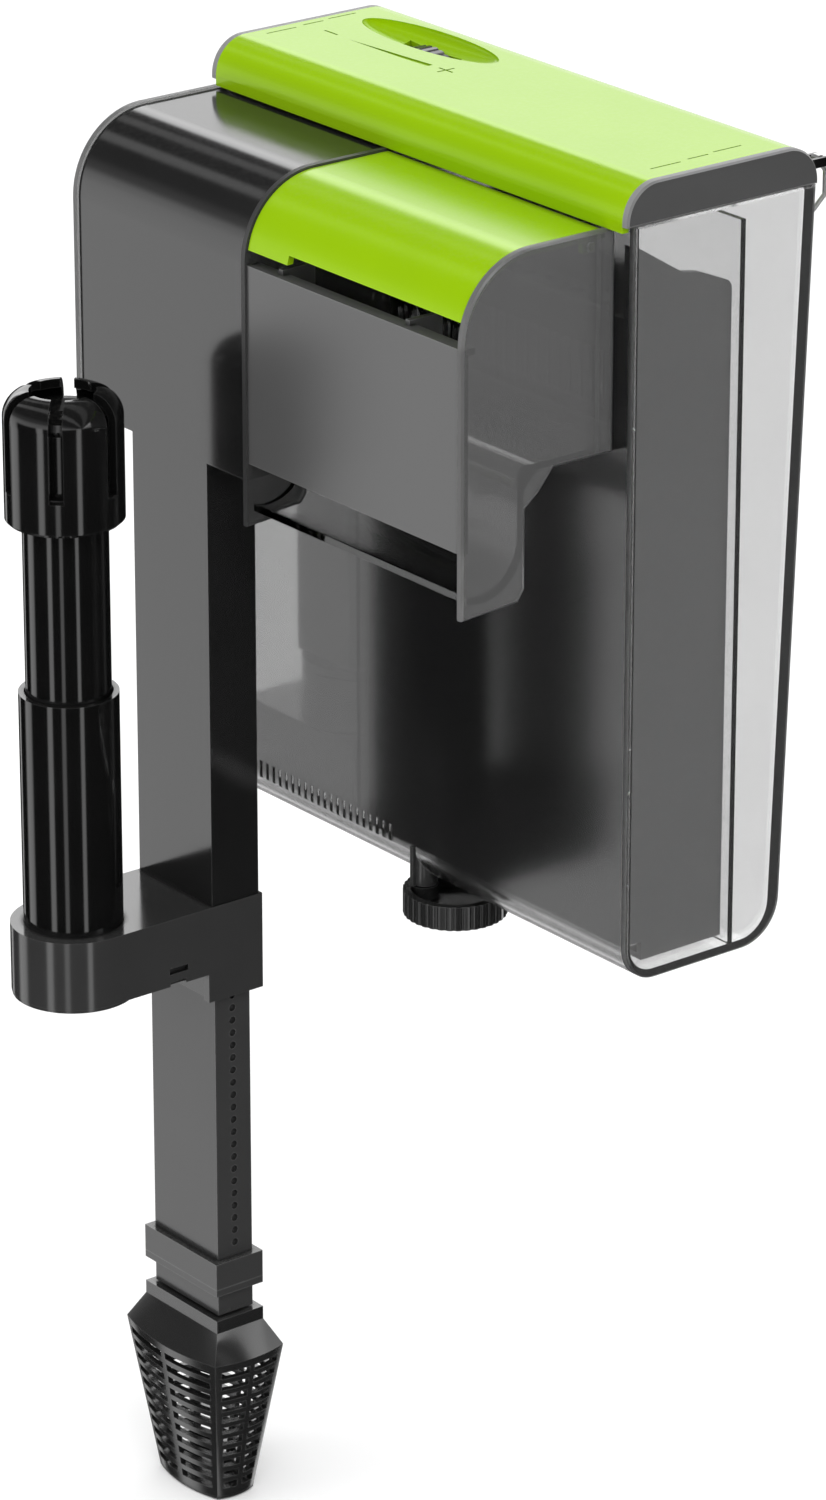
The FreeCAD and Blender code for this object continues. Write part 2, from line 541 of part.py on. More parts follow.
def cable_gland():
    sleeve = rod("gland_sleeve", ("-74", "tank_rear - 6", "30"), "Y", "3.4", "9")
    collar = rod("gland_collar", ("-74", "tank_rear - 1", "30"), "Y", "5.4", "2.6")
    tank_body = doc.getObject("tank_outer")
    inside = doc.getObject("tank_inner")
    hole = rod("gland_blind", ("-74", "tank_rear + 0.5", "30"), "Y", "2.0", "5")
    shape_blank = cut("gland_blank", fuse("gland_union", sleeve, collar), tank_body, inside)
    keep(cut("gland_solid", shape_blank, hole), "cord_gland")


# ------------------------------------------------------------------- skimmer
def skimmer_base():
    at = ("skimmer_x", "skimmer_y")
    left, right = "skimmer_x - cup_radius", "skimmer_x + cup_radius"
    arm = block("arm_block", (left, right), ("skimmer_y", "column_y + column_deep / 2 + 1"),
                ("arm_low", "arm_top"))
    cup = rod("cup_round", at + ("arm_low",), "Z", "cup_radius", "arm_top - arm_low")
    sleeve = block("sleeve_block", (left, right), ("bridge_front - 0.9", "column_y + column_deep / 2 + 1"),
                   ("sleeve_low", "arm_top"))
    mouth = block("sleeve_mouth", (left + " + 2.4", right + " - 2.4"),
                  ("bridge_front - 4", "bridge_front + 0.4"), ("sleeve_low - 1", "arm_low"))
    socket = block("column_socket", ("column_x - column_wide / 2", "column_x + column_wide / 2"),
                   ("bridge_front + proud", "shroud_back"), ("column_foot", "arm_top + 1"))
    guide = block("intake_guide",
                  ("column_x - intake_wide / 2 - small_gap", "column_x + intake_wide / 2 + small_gap"),
                  ("column_y - intake_deep / 2 - small_gap", "column_y + intake_deep / 2 + small_gap"),
                  ("sleeve_low - 1", "arm_top"))
    bore = rod("cup_bore", at + ("arm_low + 3.6",), "Z", "tube_outer", "30")
    foot = rod("cup_foot", at + ("arm_low - 1",), "Z", "cup_radius - 2.4", "3.6")
    way = rod("cup_way", at + ("arm_low - 1",), "Z", "tube_inner", "30")
    channel = block("arm_channel", (left + " + 3", right + " - 3"), ("skimmer_y + 9", "bridge_front - 1.4"),
                    ("arm_low + 2", "arm_top - 2"))
    window = block("arm_window", ("column_x - 8", "column_x + 8"),
                   ("bridge_front - 3", "bridge_front + 0.9"), ("arm_low + 4", "arm_top - 4"))
    latch = block("latch_slot", (right + " - 1.2", right + " + 1"), ("-48.2", "-42.3"), ("-159.6", "-158"))
    notch = block("latch_notch", (right + " - 1.2", right + " + 1"), ("-48", "-43"),
                  ("arm_low - 1", "arm_low + 1.2"))
    solid = cut("base_solid", fuse("base_blank", arm, cup, sleeve), mouth, socket, guide, bore, foot, way,
                channel, window, latch, notch)
    keep(solid, "skimmer_base")
    cap = rod("cap_disc", at + ("arm_low - 0.9",), "Z", "cup_radius - 0.2", "0.9")
    plug = rod("cap_plug", at + ("arm_low",), "Z", "cup_radius - 2.5", "2.4")
    grip = block("cap_grip", ("skimmer_x - 8", "skimmer_x + 8"), ("skimmer_y - 1", "skimmer_y + 1"),
                 ("arm_low - 2.6", "arm_low - 0.8"))
    keep(fuse("base_cap_solid", cap, plug, grip), "base_cap")


def pipe(name, at, low, high, outer, inner):
    wall = rod(name + "_wall", at + (low,), "Z", outer, "(%s) - (%s)" % (high, low))
    bore = rod(name + "_bore", at + (low + " - 1",), "Z", inner, "(%s) - (%s) + 2" % (high, low))
    return cut(name + "_pipe", wall, bore)


def skimmer():
    at = ("skimmer_x", "skimmer_y")
    keep(pipe("lower", at, "arm_low + 3.6", "tube_rim", "tube_outer", "tube_inner"), "skimmer_lower_tube")
    keep(pipe("float", at, "float_low", "crown_high - 9", "float_radius", "float_radius - float_wall"),
         "skimmer_float_tube")
    crown()
    float_ring = pipe("foam", at, "crown_low + 2.3", "crown_low + 9", "crown_radius - crown_wall - 0.1",
                      "float_radius + 0.1")
    keep(float_ring, "float_ring")
    centre = FreeCAD.Vector(size("skimmer_x"), size("skimmer_y"), size("crown_high") - 9)
    rim, hub = size("float_radius"), 4.0
    profile = [(0, 0), (rim, 0), (rim + 0.9, 1.6), (rim + 0.6, 3.4), (rim - 0.8, 3.2),
               (hub + 1.5, 1.4), (0, 1.0)]
    points = [centre + FreeCAD.Vector(r, 0, z) for r, z in profile]
    face = Part.Face(Part.makePolygon(points + points[:1]))
    made("crown_cap", face.revolve(centre, FreeCAD.Vector(0, 0, 1), 360))


def crown():
    """A slotted cap with a rounded shoulder around an open top."""
    x, y = size("skimmer_x"), size("skimmer_y")
    low, high, outer = size("crown_low"), size("crown_high"), size("crown_radius")
    wall, bend = size("crown_wall"), size("crown_round")

    def point(radius, height):
        return FreeCAD.Vector(x + radius, y, height)

    def quarter(radius, height, r):
        k = r * math.sqrt(0.5)
        ends = point(radius + r, height), point(radius, height + r)
        return Part.Arc(ends[0], point(radius + k, height + k), ends[1]).toShape()

    inner_bend = bend - wall
    spring, inner = high - bend, outer - wall
    tube = size("float_radius")
    walls = [((tube, low), (outer - 0.8, low)), ((outer - 0.8, low), (outer, low + 0.8)),
             ((outer, low + 0.8), (outer, spring))]
    inside = [((outer - bend, high), (outer - bend, high - wall)), ((inner, spring), (inner, low + 2.2)),
              ((inner, low + 2.2), (tube, low + 2.2)), ((tube, low + 2.2), (tube, low))]
    edges = [Part.LineSegment(point(*a), point(*b)).toShape() for a, b in walls]
    edges.append(quarter(outer - bend, spring, bend))
    edges.append(Part.LineSegment(point(*inside[0][0]), point(*inside[0][1])).toShape())
    edges.append(quarter(outer - bend, spring, inner_bend))
    edges += [Part.LineSegment(point(*a), point(*b)).toShape() for a, b in inside[1:]]
    face = Part.Face(Part.Wire(Part.__sortEdges__(edges)))
    solid = face.revolve(FreeCAD.Vector(x, y, 0), FreeCAD.Vector(0, 0, 1), 360)
    slot_wide, count = size("crown_slot"), int(size("crown_slots"))
    for number in range(count):
        slot = Part.makeBox(outer + 2, slot_wide, high - low, FreeCAD.Vector(0, -slot_wide / 2, low + 9))
        slot.rotate(FreeCAD.Vector(), FreeCAD.Vector(0, 0, 1), size("crown_turn") + number * 360.0 / count)
        slot.translate(FreeCAD.Vector(x, y, 0))
        solid = solid.cut(slot)
    made("skimmer_crown", solid)


# ---------------------------------------------------------- intake and strainer
def axis_box(half_x, half_y, low, high):
    """A plain box centred on the intake's axis."""
    corner = FreeCAD.Vector(size("column_x") - half_x, size("column_y") - half_y, low)
    return Part.makeBox(2 * half_x, 2 * half_y, high - low, corner)


def ring_block(name, half_x, half_y, wall_text, low, high):
    """A rectangular tube around the intake's axis."""
    outer = block(name + "_outer", ("column_x - " + half_x, "column_x + " + half_x),
                  ("column_y - " + half_y, "column_y + " + half_y), (low, high))
    inner = block(name + "_inner",
                  ("column_x - intake_wide / 2 + " + wall_text,
                   "column_x + intake_wide / 2 - " + wall_text),
                  ("column_y - intake_deep / 2 + " + wall_text,
                   "column_y + intake_deep / 2 - " + wall_text),
                  (low + " - 1", high + " + 1"))
    return cut(name + "_ring", outer, inner)


def intake():
    half_x, half_y = "intake_wide / 2", "intake_deep / 2"
    tube = ring_block("intake", half_x, half_y, "intake_wall", "collar_low + 2", "intake_top")
    dimples = []
    for number in range(int(size("notches"))):
        ball = doc.addObject("Part::Sphere", "notch_%d" % number)
        bind(ball, "Radius", "notch_radius")
        bind(ball, "Placement.Base.x", "column_x + intake_wide / 2")
        bind(ball, "Placement.Base.y", "column_y")
        bind(ball, "Placement.Base.z", "collar_high + 4 + notch_pitch * %d" % number)
        dimples.append(ball)
    keep(cut("intake_solid", tube, *dimples), "intake_tube")
    bigger_x, bigger_y = "(%s + collar_proud)" % half_x, "(%s + collar_proud)" % half_y
    keep(ring_block("collar", bigger_x, bigger_y, "0", "collar_low + 2", "collar_high"), "tube_collar")
    sleeve = ring_block("collar_foot", bigger_x, bigger_y, "intake_wall", "collar_low", "collar_low + 2")
    socket = ring_block("socket", half_x, half_y, "intake_wall", "socket_low + 0.6", "collar_low")
    keep(fuse("socket_solid", sleeve, socket), "strainer_socket")
    strainer()


def bowed_wire(half_x, half_y, bow, z):
    """A closed outline of four outward-bowed sides between sharp corners."""
    cx, cy = size("column_x"), size("column_y")
    corners = [(-half_x, -half_y), (half_x, -half_y), (half_x, half_y), (-half_x, half_y)]
    mids = [(0, -half_y - bow), (half_x + bow * 0.6, 0), (0, half_y + bow), (-half_x - bow * 0.6, 0)]
    at = [FreeCAD.Vector(cx + a, cy + b, z) for a, b in corners]
    over = [FreeCAD.Vector(cx + a, cy + b, z) for a, b in mids]
    return Part.Wire([Part.Arc(at[i], over[i], at[(i + 1) % 4]).toShape() for i in range(4)])


def strainer():
    wall, rib = 1.5, 1.6
    high, low = size("strainer_rim"), size("strainer_foot")
    flange_top, flange_low = size("socket_low") + 0.2, size("flange_low")
    bow = size("side_bow")
    rim = (size("rim_half_x"), size("rim_half_y"))
    foot = (size("foot_half_x"), size("foot_half_y"))
    tube = (size("intake_wide") / 2, size("intake_deep") / 2)
    neck = (tube[0] + size("collar_proud"), tube[1] + size("collar_proud"))

    def shell(top, bottom, top_z, low_z, top_bow, low_bow, thick, floor):
        ends = [bowed_wire(*top, top_bow, top_z), bowed_wire(*bottom, low_bow, low_z)]
        outer = Part.makeLoft(ends, True, True)
        inner_top = (top[0] - thick, top[1] - thick)
        inner_low = (bottom[0] - thick, bottom[1] - thick)
        inner = Part.makeLoft([bowed_wire(*inner_top, top_bow, top_z + 0.01),
                               bowed_wire(*inner_low, low_bow, low_z + floor)], True, True)
        return outer.cut(inner)

    funnel = shell(neck, rim, flange_low, high, 0.05, bow, wall, -0.01)
    cage = shell(rim, foot, high, low, bow, bow * 0.7, wall, 1.6)
    neck_block = axis_box(neck[0], neck[1], flange_low, flange_top)
    wall_in = size("intake_wall") + size("small_gap")
    spigot = axis_box(tube[0] - wall_in, tube[1] - wall_in, flange_low, flange_low + size("spigot_long"))
    bore_in = wall_in + size("spigot_wall")
    neck_hole = axis_box(tube[0] - bore_in, tube[1] - bore_in, flange_low - 1, flange_low + 15)
    solid = funnel.fuse(cage).fuse(neck_block).fuse(spigot).cut(neck_hole)
    tools = []
    for row in range(int(size("slot_rows"))):
        z = high - 4.4 - row * size("slot_pitch")
        share = (high - z) / (high - low)
        half_x = rim[0] + (foot[0] - rim[0]) * share - rib
        half_y = rim[1] + (foot[1] - rim[1]) * share - rib
        for sign in (-1, 1):
            long_x, long_y = half_x - rib / 2, half_y - rib / 2
            mid_x = size("column_x") + sign * (rib / 2 + long_x / 2)
            mid_y = size("column_y") + sign * (rib / 2 + long_y / 2)
            tools.append(Part.makeBox(long_x, 60, size("slot_high"),
                                      FreeCAD.Vector(mid_x - long_x / 2, size("column_y") - 30, z)))
            tools.append(Part.makeBox(80, long_y, size("slot_high"),
                                      FreeCAD.Vector(size("column_x") - 40, mid_y - long_y / 2, z)))
    made("intake_strainer", solid.cut(tools).removeSplitter())


# ----------------------------------------------------------- levelling wheel
def levelling():
    disc = rod("cam_disc", ("cam_x", "cam_y", "cam_low"), "Z", "cam_radius", "cam_top - cam_low")
    recess = rod("cam_recess", ("cam_x", "cam_y", "cam_top - 3.4"), "Z", "cam_radius - 2.2", "5")
    hub = rod("cam_hub", ("cam_pin_x", "cam_pin_y", "cam_low"), "Z", "3.7", "cam_top - cam_low + 0.7")
    bore = rod("cam_bore", ("cam_pin_x", "cam_pin_y", "cam_low - 1"), "Z", "cam_pin + running_gap", "12")
    flutes = []
    for number in range(36):
        angle = number * 10
        place = ("cam_x + (cam_radius + 0.7) * cos(%d deg)" % angle,
                 "cam_y + (cam_radius + 0.7) * sin(%d deg)" % angle, "cam_low - 1")
        flutes.append(rod("cam_flute_%d" % number, place, "Z", "1", "10"))
    dish = cut("cam_dish", disc, recess)
    keep(cut("cam_solid", fuse("cam_blank", dish, hub), bore, *flutes), "levelling_wheel")
    pin = rod("pin_stem", ("cam_pin_x", "cam_pin_y", "cam_low - 0.3"), "Z", "cam_pin", "9.4")
    head = rod("pin_head", ("cam_pin_x", "cam_pin_y", "cam_low - 1.5"), "Z", "3.2", "1.2")
    tank_body = doc.getObject("tank_outer")
    boss = rod("pin_boss", ("cam_pin_x", "cam_pin_y", "cam_top + 1"), "Z", "3.4", "8")
    rib = block("boss_rib", ("cam_pin_x - 0.6", "cam_pin_x + 0.6"), ("tank_front - 0.9", "cam_pin_y"),
                ("cam_top + 1", "tank_floor + 10"))
    hole = rod("boss_hole", ("cam_pin_x", "cam_pin_y", "cam_low - 1"), "Z", "cam_pin", "10.4")
    bracket = cut("bracket_blank", fuse("bracket_union", boss, rib), tank_body)
    keep(cut("bracket_solid", bracket, hole), "wheel_bracket")
    keep(fuse("pivot_solid", pin, head), "wheel_pivot_screw")


# -------------------------------------------------------------- media basket
def basket():
    wall = "basket_wall"
    left, right, front, rear = "basket_left", "basket_right", "basket_front", "basket_rear"
    outer = block("basket_outer", (left, right), (front, rear), ("basket_low", "basket_rim"))
    inner = block("basket_inner", (left + " + " + wall, right + " - " + wall),
                  (front + " + " + wall, rear + " - " + wall), ("basket_low + 1.6", "basket_rim + 1"))
    end = outline("basket_end", "YZ_Plane", [
        (front, "basket_low + 20"), (rear, "basket_low + 20"), (rear, "38"), ("36", "42.4"), ("30", "43.6"),
        (front, "53")], "basket_right - basket_wall", "basket_wall")
    round_corners(end, [(size("basket_rear"), 38.0, "3")])
    corner = block("basket_heel", (left + " - 1", right + " + 1"), (front + " - 1", front + " + 5"),
                   ("basket_low - 1", "basket_low + 5"))
    slots = []
    for number in range(16):
        x = -19.5 + 6.0 * number
        slots.append(block("basket_slot_%d" % number, (str(x), str(x + 3.4)),
                           ("basket_front + 6", "basket_rear - 4"),
                           ("basket_low - 1", "basket_low + 3")))
    body = cut("basket_solid", fuse("basket_blank", outer, end), inner, corner, *slots)
    keep(body, "media_basket")
    grip = block("grip_bar", ("10", "48"), ("27", "34"), ("46", "49"))
    legs = [block("grip_leg_%d" % i, x, ("29", "32"), ("24", "46.5"))
            for i, x in enumerate((("10", "13"), ("45", "48")))]
    grid = block("grid_plate", ("basket_left + 1.9", "basket_right - 1.9"),
                 ("basket_front + 1.9", "basket_rear - 1.9"),
                 ("22", "24"))
    holes = []
    for i in range(15):
        for j in range(4):
            x, y = -18.6 + 6.4 * i, 19.4 + 6.2 * j
            holes.append(block("grid_hole_%d_%d" % (i, j), (str(x), str(x + 4.4)),
                               (str(y), str(y + 4.4)), ("21", "25")))
    keep(fuse("grid_solid", cut("grid_blank", grid, *holes), grip, *legs), "media_grid")
    pads = (("filter_sponge", "-21.4", "18"), ("filter_floss", "18.6", "34"), ("carbon_pad", "34.6", "46"))
    for node, x0, x1 in pads:
        pad = block(node + "_pad", (x0, x1), ("basket_front + 5.6", "basket_rear - 2"),
                    ("basket_low + 6", "20"))
        keep(pad, node)
    rings = []
    for i in range(2):
        for j in range(2):
            for k in range(11):
                base = FreeCAD.Vector(54.4 + 13.4 * i, 26.2 + 11.8 * j,
                                      size("basket_low") + 6.2 + 13.4 * k)
                hole = Part.makeCylinder(2.6, 14, base - FreeCAD.Vector(0, 0, 1))
                ring = Part.makeCylinder(5.6, 12.4, base).cut(hole)
                rings.append(ring)
    made("ceramic_rings", Part.makeCompound(rings))


def lid_clip():
    """A wire loop that hangs from a stub on the lid's rear face."""
    x, wire = 81.2, 0.6
    top, low, out = 64.0, 51.4, 75.6
    wall = size("lid_rear")
    pivot = FreeCAD.Vector(x, wall + 1.9, top)
    path = [(wall + 1.9, top), (out - 2.4, top), (out, top - 3.0), (out, low + 3.4), (wall + 0.9, low)]
    solid = None
    for (y0, z0), (y1, z1) in zip(path, path[1:]):
        a, b = FreeCAD.Vector(x, y0, z0), FreeCAD.Vector(x, y1, z1)
        piece = Part.makeCylinder(wire, (b - a).Length, a, b - a).fuse(Part.makeSphere(wire, b))
        solid = piece if solid is None else solid.fuse(piece)
    eye = Part.makeCylinder(1.5, 2.2, pivot - FreeCAD.Vector(1.1, 0, 0), FreeCAD.Vector(1, 0, 0))
    along = FreeCAD.Vector(1, 0, 0)
    bore = Part.makeCylinder(0.9 + size("running_gap"), 4, pivot - 2 * along, along)
    made("lid_clip", solid.fuse(eye).cut(bore))
    pin = Part.makeCylinder(0.9, 4.6, pivot - FreeCAD.Vector(2.3, 0, 0), FreeCAD.Vector(1, 0, 0))
    ears = []
    for side in (-2.4, 1.4):
        ears.append(Part.makeBox(1.0, 5.2, 2.4, FreeCAD.Vector(x + side, wall - 2.0, top - 1.2)))
    solid = pin.fuse(ears[0]).fuse(ears[1])
    for neighbour in ("lid_outer", "lid_cap_right"):
        solid = solid.cut(doc.getObject(neighbour).Shape)
    made("clip_pivot", solid)


tank()
bridge()
spout()
lid()
flow_control()
suction_duct()
pump()
cable_gland()
skimmer_base()
skimmer()
intake()
levelling()
basket()
doc.recompute()
lid_clip()
doc.recompute()

failed = [item.Label for item in doc.Objects if {"Invalid", "Error"} & set(item.State)]
if failed:
    raise SystemExit("failed objects: " + ", ".join(failed))
for item in sub_parts:
    if item.Shape.isNull() or not item.Shape.isValid():
        raise SystemExit("bad shape: " + item.Label)
os.makedirs("parts", exist_ok=True)
for item in sub_parts:
    item.Shape.exportStep(os.path.join("parts", item.Label + ".step"))
    print("%-20s %6.1f cm3 %3d solids" % (item.Label, item.Shape.Volume / 1000, len(item.Shape.Solids)))
print(len(sub_parts), "sub-parts")
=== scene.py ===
# %% [markdown]
# # A hang on back aquarium filter
#
# The filter hangs on the back glass of an aquarium. A smoked tank behind the glass holds the pump and the
# filter media, a bridge crosses the rim, and water falls back through the spout. The frame below is the
# finished hard model of the filter. This lesson gives it its plastics, foams and metals, and builds the
# soft pieces that a hard solid can't stand for.

import json
import math

import bmesh
import bpy
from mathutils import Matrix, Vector, noise


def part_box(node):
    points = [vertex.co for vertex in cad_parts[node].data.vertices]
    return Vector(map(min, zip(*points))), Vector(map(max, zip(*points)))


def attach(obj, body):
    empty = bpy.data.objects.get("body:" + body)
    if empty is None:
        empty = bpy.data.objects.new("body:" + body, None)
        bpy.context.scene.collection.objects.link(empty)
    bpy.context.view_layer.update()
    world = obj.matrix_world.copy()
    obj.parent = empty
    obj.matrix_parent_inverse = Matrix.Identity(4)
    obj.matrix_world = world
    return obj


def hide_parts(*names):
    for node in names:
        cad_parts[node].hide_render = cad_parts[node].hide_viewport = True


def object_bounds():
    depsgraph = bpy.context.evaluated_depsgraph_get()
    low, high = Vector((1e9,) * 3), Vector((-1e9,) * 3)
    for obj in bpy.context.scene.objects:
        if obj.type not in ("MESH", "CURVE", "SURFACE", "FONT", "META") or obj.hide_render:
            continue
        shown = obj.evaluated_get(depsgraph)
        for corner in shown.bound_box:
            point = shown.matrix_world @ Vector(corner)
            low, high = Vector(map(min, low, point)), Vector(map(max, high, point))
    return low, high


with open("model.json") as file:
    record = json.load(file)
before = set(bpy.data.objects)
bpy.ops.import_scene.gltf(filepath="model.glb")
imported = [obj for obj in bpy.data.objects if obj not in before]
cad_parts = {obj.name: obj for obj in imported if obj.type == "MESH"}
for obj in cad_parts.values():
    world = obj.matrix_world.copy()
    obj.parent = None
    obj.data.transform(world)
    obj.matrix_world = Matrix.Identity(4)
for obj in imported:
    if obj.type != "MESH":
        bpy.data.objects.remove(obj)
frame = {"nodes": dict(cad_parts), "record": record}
frame_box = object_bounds()
nodes = frame["nodes"]

# %% [markdown]
# ## Where the viewer stands
#
# A tall, slim object is best seen through a long lens from well back, so that upright walls stay nearly
# parallel. The viewer looks at the spout end and the water side together, from a little above. A camera can
# be turned by hand, but pointing its own -Z axis at a target keeps the horizon level and says what it looks
# at.

# %% Camera
CAMERA_PLACE = Vector((1.2350, -0.9633, 0.5294))
CAMERA_TARGET = Vector((0.0153, -0.00165, -0.0945))
LENS_MM = 157.2
SENSOR_MM = 36.0

camera_data = bpy.data.cameras.new("viewer")
camera_data.lens = LENS_MM
camera_data.sensor_width = SENSOR_MM
camera_data.clip_start, camera_data.clip_end = 0.05, 60.0
camera = bpy.data.objects.new("viewer", camera_data)
camera.location = CAMERA_PLACE
camera.rotation_mode = "QUATERNION"
camera.rotation_quaternion = (CAMERA_TARGET - CAMERA_PLACE).to_track_quat("-Z", "Y")
bpy.context.scene.collection.objects.link(camera)
bpy.context.scene.camera = camera
bpy.context.scene.view_settings.view_transform = "Standard"
print("camera at", tuple(round(c, 3) for c in camera.location))

# %% [markdown]
# ## Helpers for node trees
#
# Every finish below is a tree of nodes. Short helpers keep those trees readable: one puts a node down and
# fills in its inputs, one draws a wire between two sockets, and the rest add a Math node, blend two colours
# and give a neutral grey.


# %% Put a node down and wire it
def put(tree, kind, values=None, **settings):
    """Adds a node, sets its options and fills its inputs by name or number."""
    node = tree.nodes.new(kind)
    for key, value in settings.items():
        setattr(node, key, value)
    for key, value in (values or {}).items():
        node.inputs[key].default_value = value
    return node


def wire(tree, source, target):
    """Draws a wire from an output socket to an input socket."""
    tree.links.new(source, target)


def maths(tree, operation, a, b=0.0, c=0.0):
    """A Math node. Each of a, b and c is a number or an output socket."""
    node = put(tree, "ShaderNodeMath", operation=operation)
    for place, value in enumerate((a, b, c)):
        if isinstance(value, (int, float)):
            node.inputs[place].default_value = value
        else:
            wire(tree, value, node.inputs[place])
    return node.outputs[0]


def blend_colours(tree, amount, a, b):
    """A Mix node for colours. amount, a and b are values or output sockets."""
    node = put(tree, "ShaderNodeMix", data_type="RGBA")
    for place, value in ((0, amount), (6, a), (7, b)):
        if isinstance(value, (int, float, tuple)):
            node.inputs[place].default_value = value
        else:
            wire(tree, value, node.inputs[place])
    return node.outputs[2]


def grey(level):
    """A neutral colour."""
    return (level, level, level, 1.0)


# %% [markdown]
# ## The studio
#
# Glossy black and smoked plastic show their surroundings more than their own colour. A studio lights them
# with soft white cards and lets dark gaps between the cards draw the edges. Here the cards are painted
# into the world: a broad one low on the water side, a bright band low in the sky, thinner bands above it,
# and narrow upright strips that run down the round tubes. The paint depends only on the direction of the
# light, so it is the same for every part and from every side.


# %% World with painted light cards
def compass(degrees):
    """A level unit vector. 0 is -Y, the water side, and 90 is +X, the spout end."""
    return (math.sin(math.radians(degrees)), -math.cos(math.radians(degrees)), 0.0)


def card(tree, level_direction, towards, half_width, softness):
    """1 inside an upright card and 0 outside it, with a soft border."""
    dot = put(tree, "ShaderNodeVectorMath", {1: compass(towards)}, operation="DOT_PRODUCT")
    wire(tree, level_direction, dot.inputs[0])
    edge = put(
        tree,
        "ShaderNodeMapRange",
        {
            "From Min": math.cos(math.radians(half_width + softness)),
            "From Max": math.cos(math.radians(half_width)),
        },
        interpolation_type="SMOOTHSTEP",
    )
    wire(tree, dot.outputs["Value"], edge.inputs["Value"])
    return edge.outputs[0]


def ramp(tree, stops, value):
    """A ColorRamp node of grey stops given as (place, level)."""
    node = put(tree, "ShaderNodeValToRGB")
    node.color_ramp.interpolation = "EASE"
    first, last = node.color_ramp.elements
    first.position, first.color = stops[0][0], grey(stops[0][1])
    last.position, last.color = stops[-1][0], grey(stops[-1][1])
    for place, level in stops[1:-1]:
        node.color_ramp.elements.new(place).color = grey(level)
    wire(tree, value, node.inputs[0])
    return node.outputs[0]


# Places along the ramp run from the water side's horizon (0) over the top (0.5) to the rear horizon (1).
SKY_BANDS = [
    (0.000, 0.50), (0.060, 0.42), (0.130, 0.12), (0.220, 0.03), (0.330, 0.02), (0.375, 0.26), (0.410, 0.26),
    (0.450, 0.02), (0.540, 0.02), (0.570, 0.16), (0.610, 0.16), (0.640, 0.03), (0.700, 0.04), (0.728, 0.95),
    (0.785, 1.00), (0.830, 0.62), (1.000, 0.50),
]
SKY_BAND_LEVEL = 3.2
LOW_CARD = {"towards": -52.0, "half_width": 5.0, "softness": 10.0, "level": 1.7}
STRIPS = [(10.0, 3.0, 5.0, 2.4), (42.0, 2.0, 4.0, 1.5), (84.0, 2.0, 4.0, 2.2), (182.0, 3.0, 5.0, 2.4),
          (226.0, 4.0, 6.0, 1.2), (-94.0, 2.0, 5.0, 0.9)]
FILL_LEVEL = 0.92
FILL_RISE = 0.5

world = bpy.data.worlds.new("studio")
bpy.context.scene.world = world
world.use_nodes = True
tree = world.node_tree
background = tree.nodes["Background"]
background.inputs["Color"].default_value = grey(1.0)
direction = put(tree, "ShaderNodeTexCoord").outputs["Generated"]
parts = put(tree, "ShaderNodeSeparateXYZ")
wire(tree, direction, parts.inputs[0])
flatten = put(tree, "ShaderNodeVectorMath", {1: (1.0, 1.0, 0.0)}, operation="MULTIPLY")
wire(tree, direction, flatten.inputs[0])
level_way = put(tree, "ShaderNodeVectorMath", operation="NORMALIZE")
wire(tree, flatten.outputs[0], level_way.inputs[0])

height = maths(tree, "MULTIPLY_ADD", parts.outputs["Z"], 0.5, 0.5)
towards_water = maths(tree, "MULTIPLY", parts.outputs["Y"], -1.0)
over_the_top = maths(tree, "DIVIDE", maths(tree, "ARCTAN2", parts.outputs["Z"], towards_water), math.pi)
above = ramp(tree, [(0.0, 0.0), (0.47, 0.0), (0.55, 1.0), (1.0, 1.0)], height)
below = maths(tree, "SUBTRACT", 1.0, above)
light = maths(tree, "MULTIPLY", ramp(tree, SKY_BANDS, over_the_top), SKY_BAND_LEVEL)
light = maths(tree, "MULTIPLY", light, above)
low = card(tree, level_way.outputs[0], LOW_CARD["towards"], LOW_CARD["half_width"], LOW_CARD["softness"])
light = maths(tree, "MULTIPLY_ADD", maths(tree, "MULTIPLY", low, LOW_CARD["level"]), below, light)
for towards, half_width, softness, level in STRIPS:
    strip = card(tree, level_way.outputs[0], towards, half_width, softness)
    light = maths(tree, "MULTIPLY_ADD", maths(tree, "MULTIPLY", strip, level), below, light)
mirrored = put(tree, "ShaderNodeLightPath")
fill = maths(tree, "MULTIPLY_ADD", height, FILL_RISE, FILL_LEVEL - FILL_RISE / 2)
pick = put(tree, "ShaderNodeMix", data_type="FLOAT")
wire(tree, mirrored.outputs["Is Glossy Ray"], pick.inputs[0])
wire(tree, fill, pick.inputs[2])
wire(tree, light, pick.inputs[3])
seen = put(tree, "ShaderNodeMix", {3: 1.0}, data_type="FLOAT")
wire(tree, mirrored.outputs["Is Camera Ray"], seen.inputs[0])
wire(tree, pick.outputs[0], seen.inputs[2])
wire(tree, seen.outputs[0], background.inputs["Strength"])
print("painted", len(STRIPS) + 1, "cards and the sky bands")

# %% [markdown]
# ## Soft lamps
#
# The world gives an even fill. Two large square lamps add the direction that shapes the parts: a broad one
# over the spout end, and a weaker one over the water side. Large lamps give soft shadows.

# %% Lamps
LAMP_TARGET = Vector((0, 0, -0.1))


def soft_lamp(name, place, watts, side):
    """A square lamp aimed at the middle of the filter."""
    data = bpy.data.lights.new(name, "AREA")
    data.energy, data.size = watts, side
    lamp = bpy.data.objects.new(name, data)
    lamp.location = place
    lamp.rotation_mode = "QUATERNION"
    lamp.rotation_quaternion = (LAMP_TARGET - Vector(place)).to_track_quat("-Z", "Y")
    bpy.context.scene.collection.objects.link(lamp)
    lamp.visible_glossy = False
    return lamp


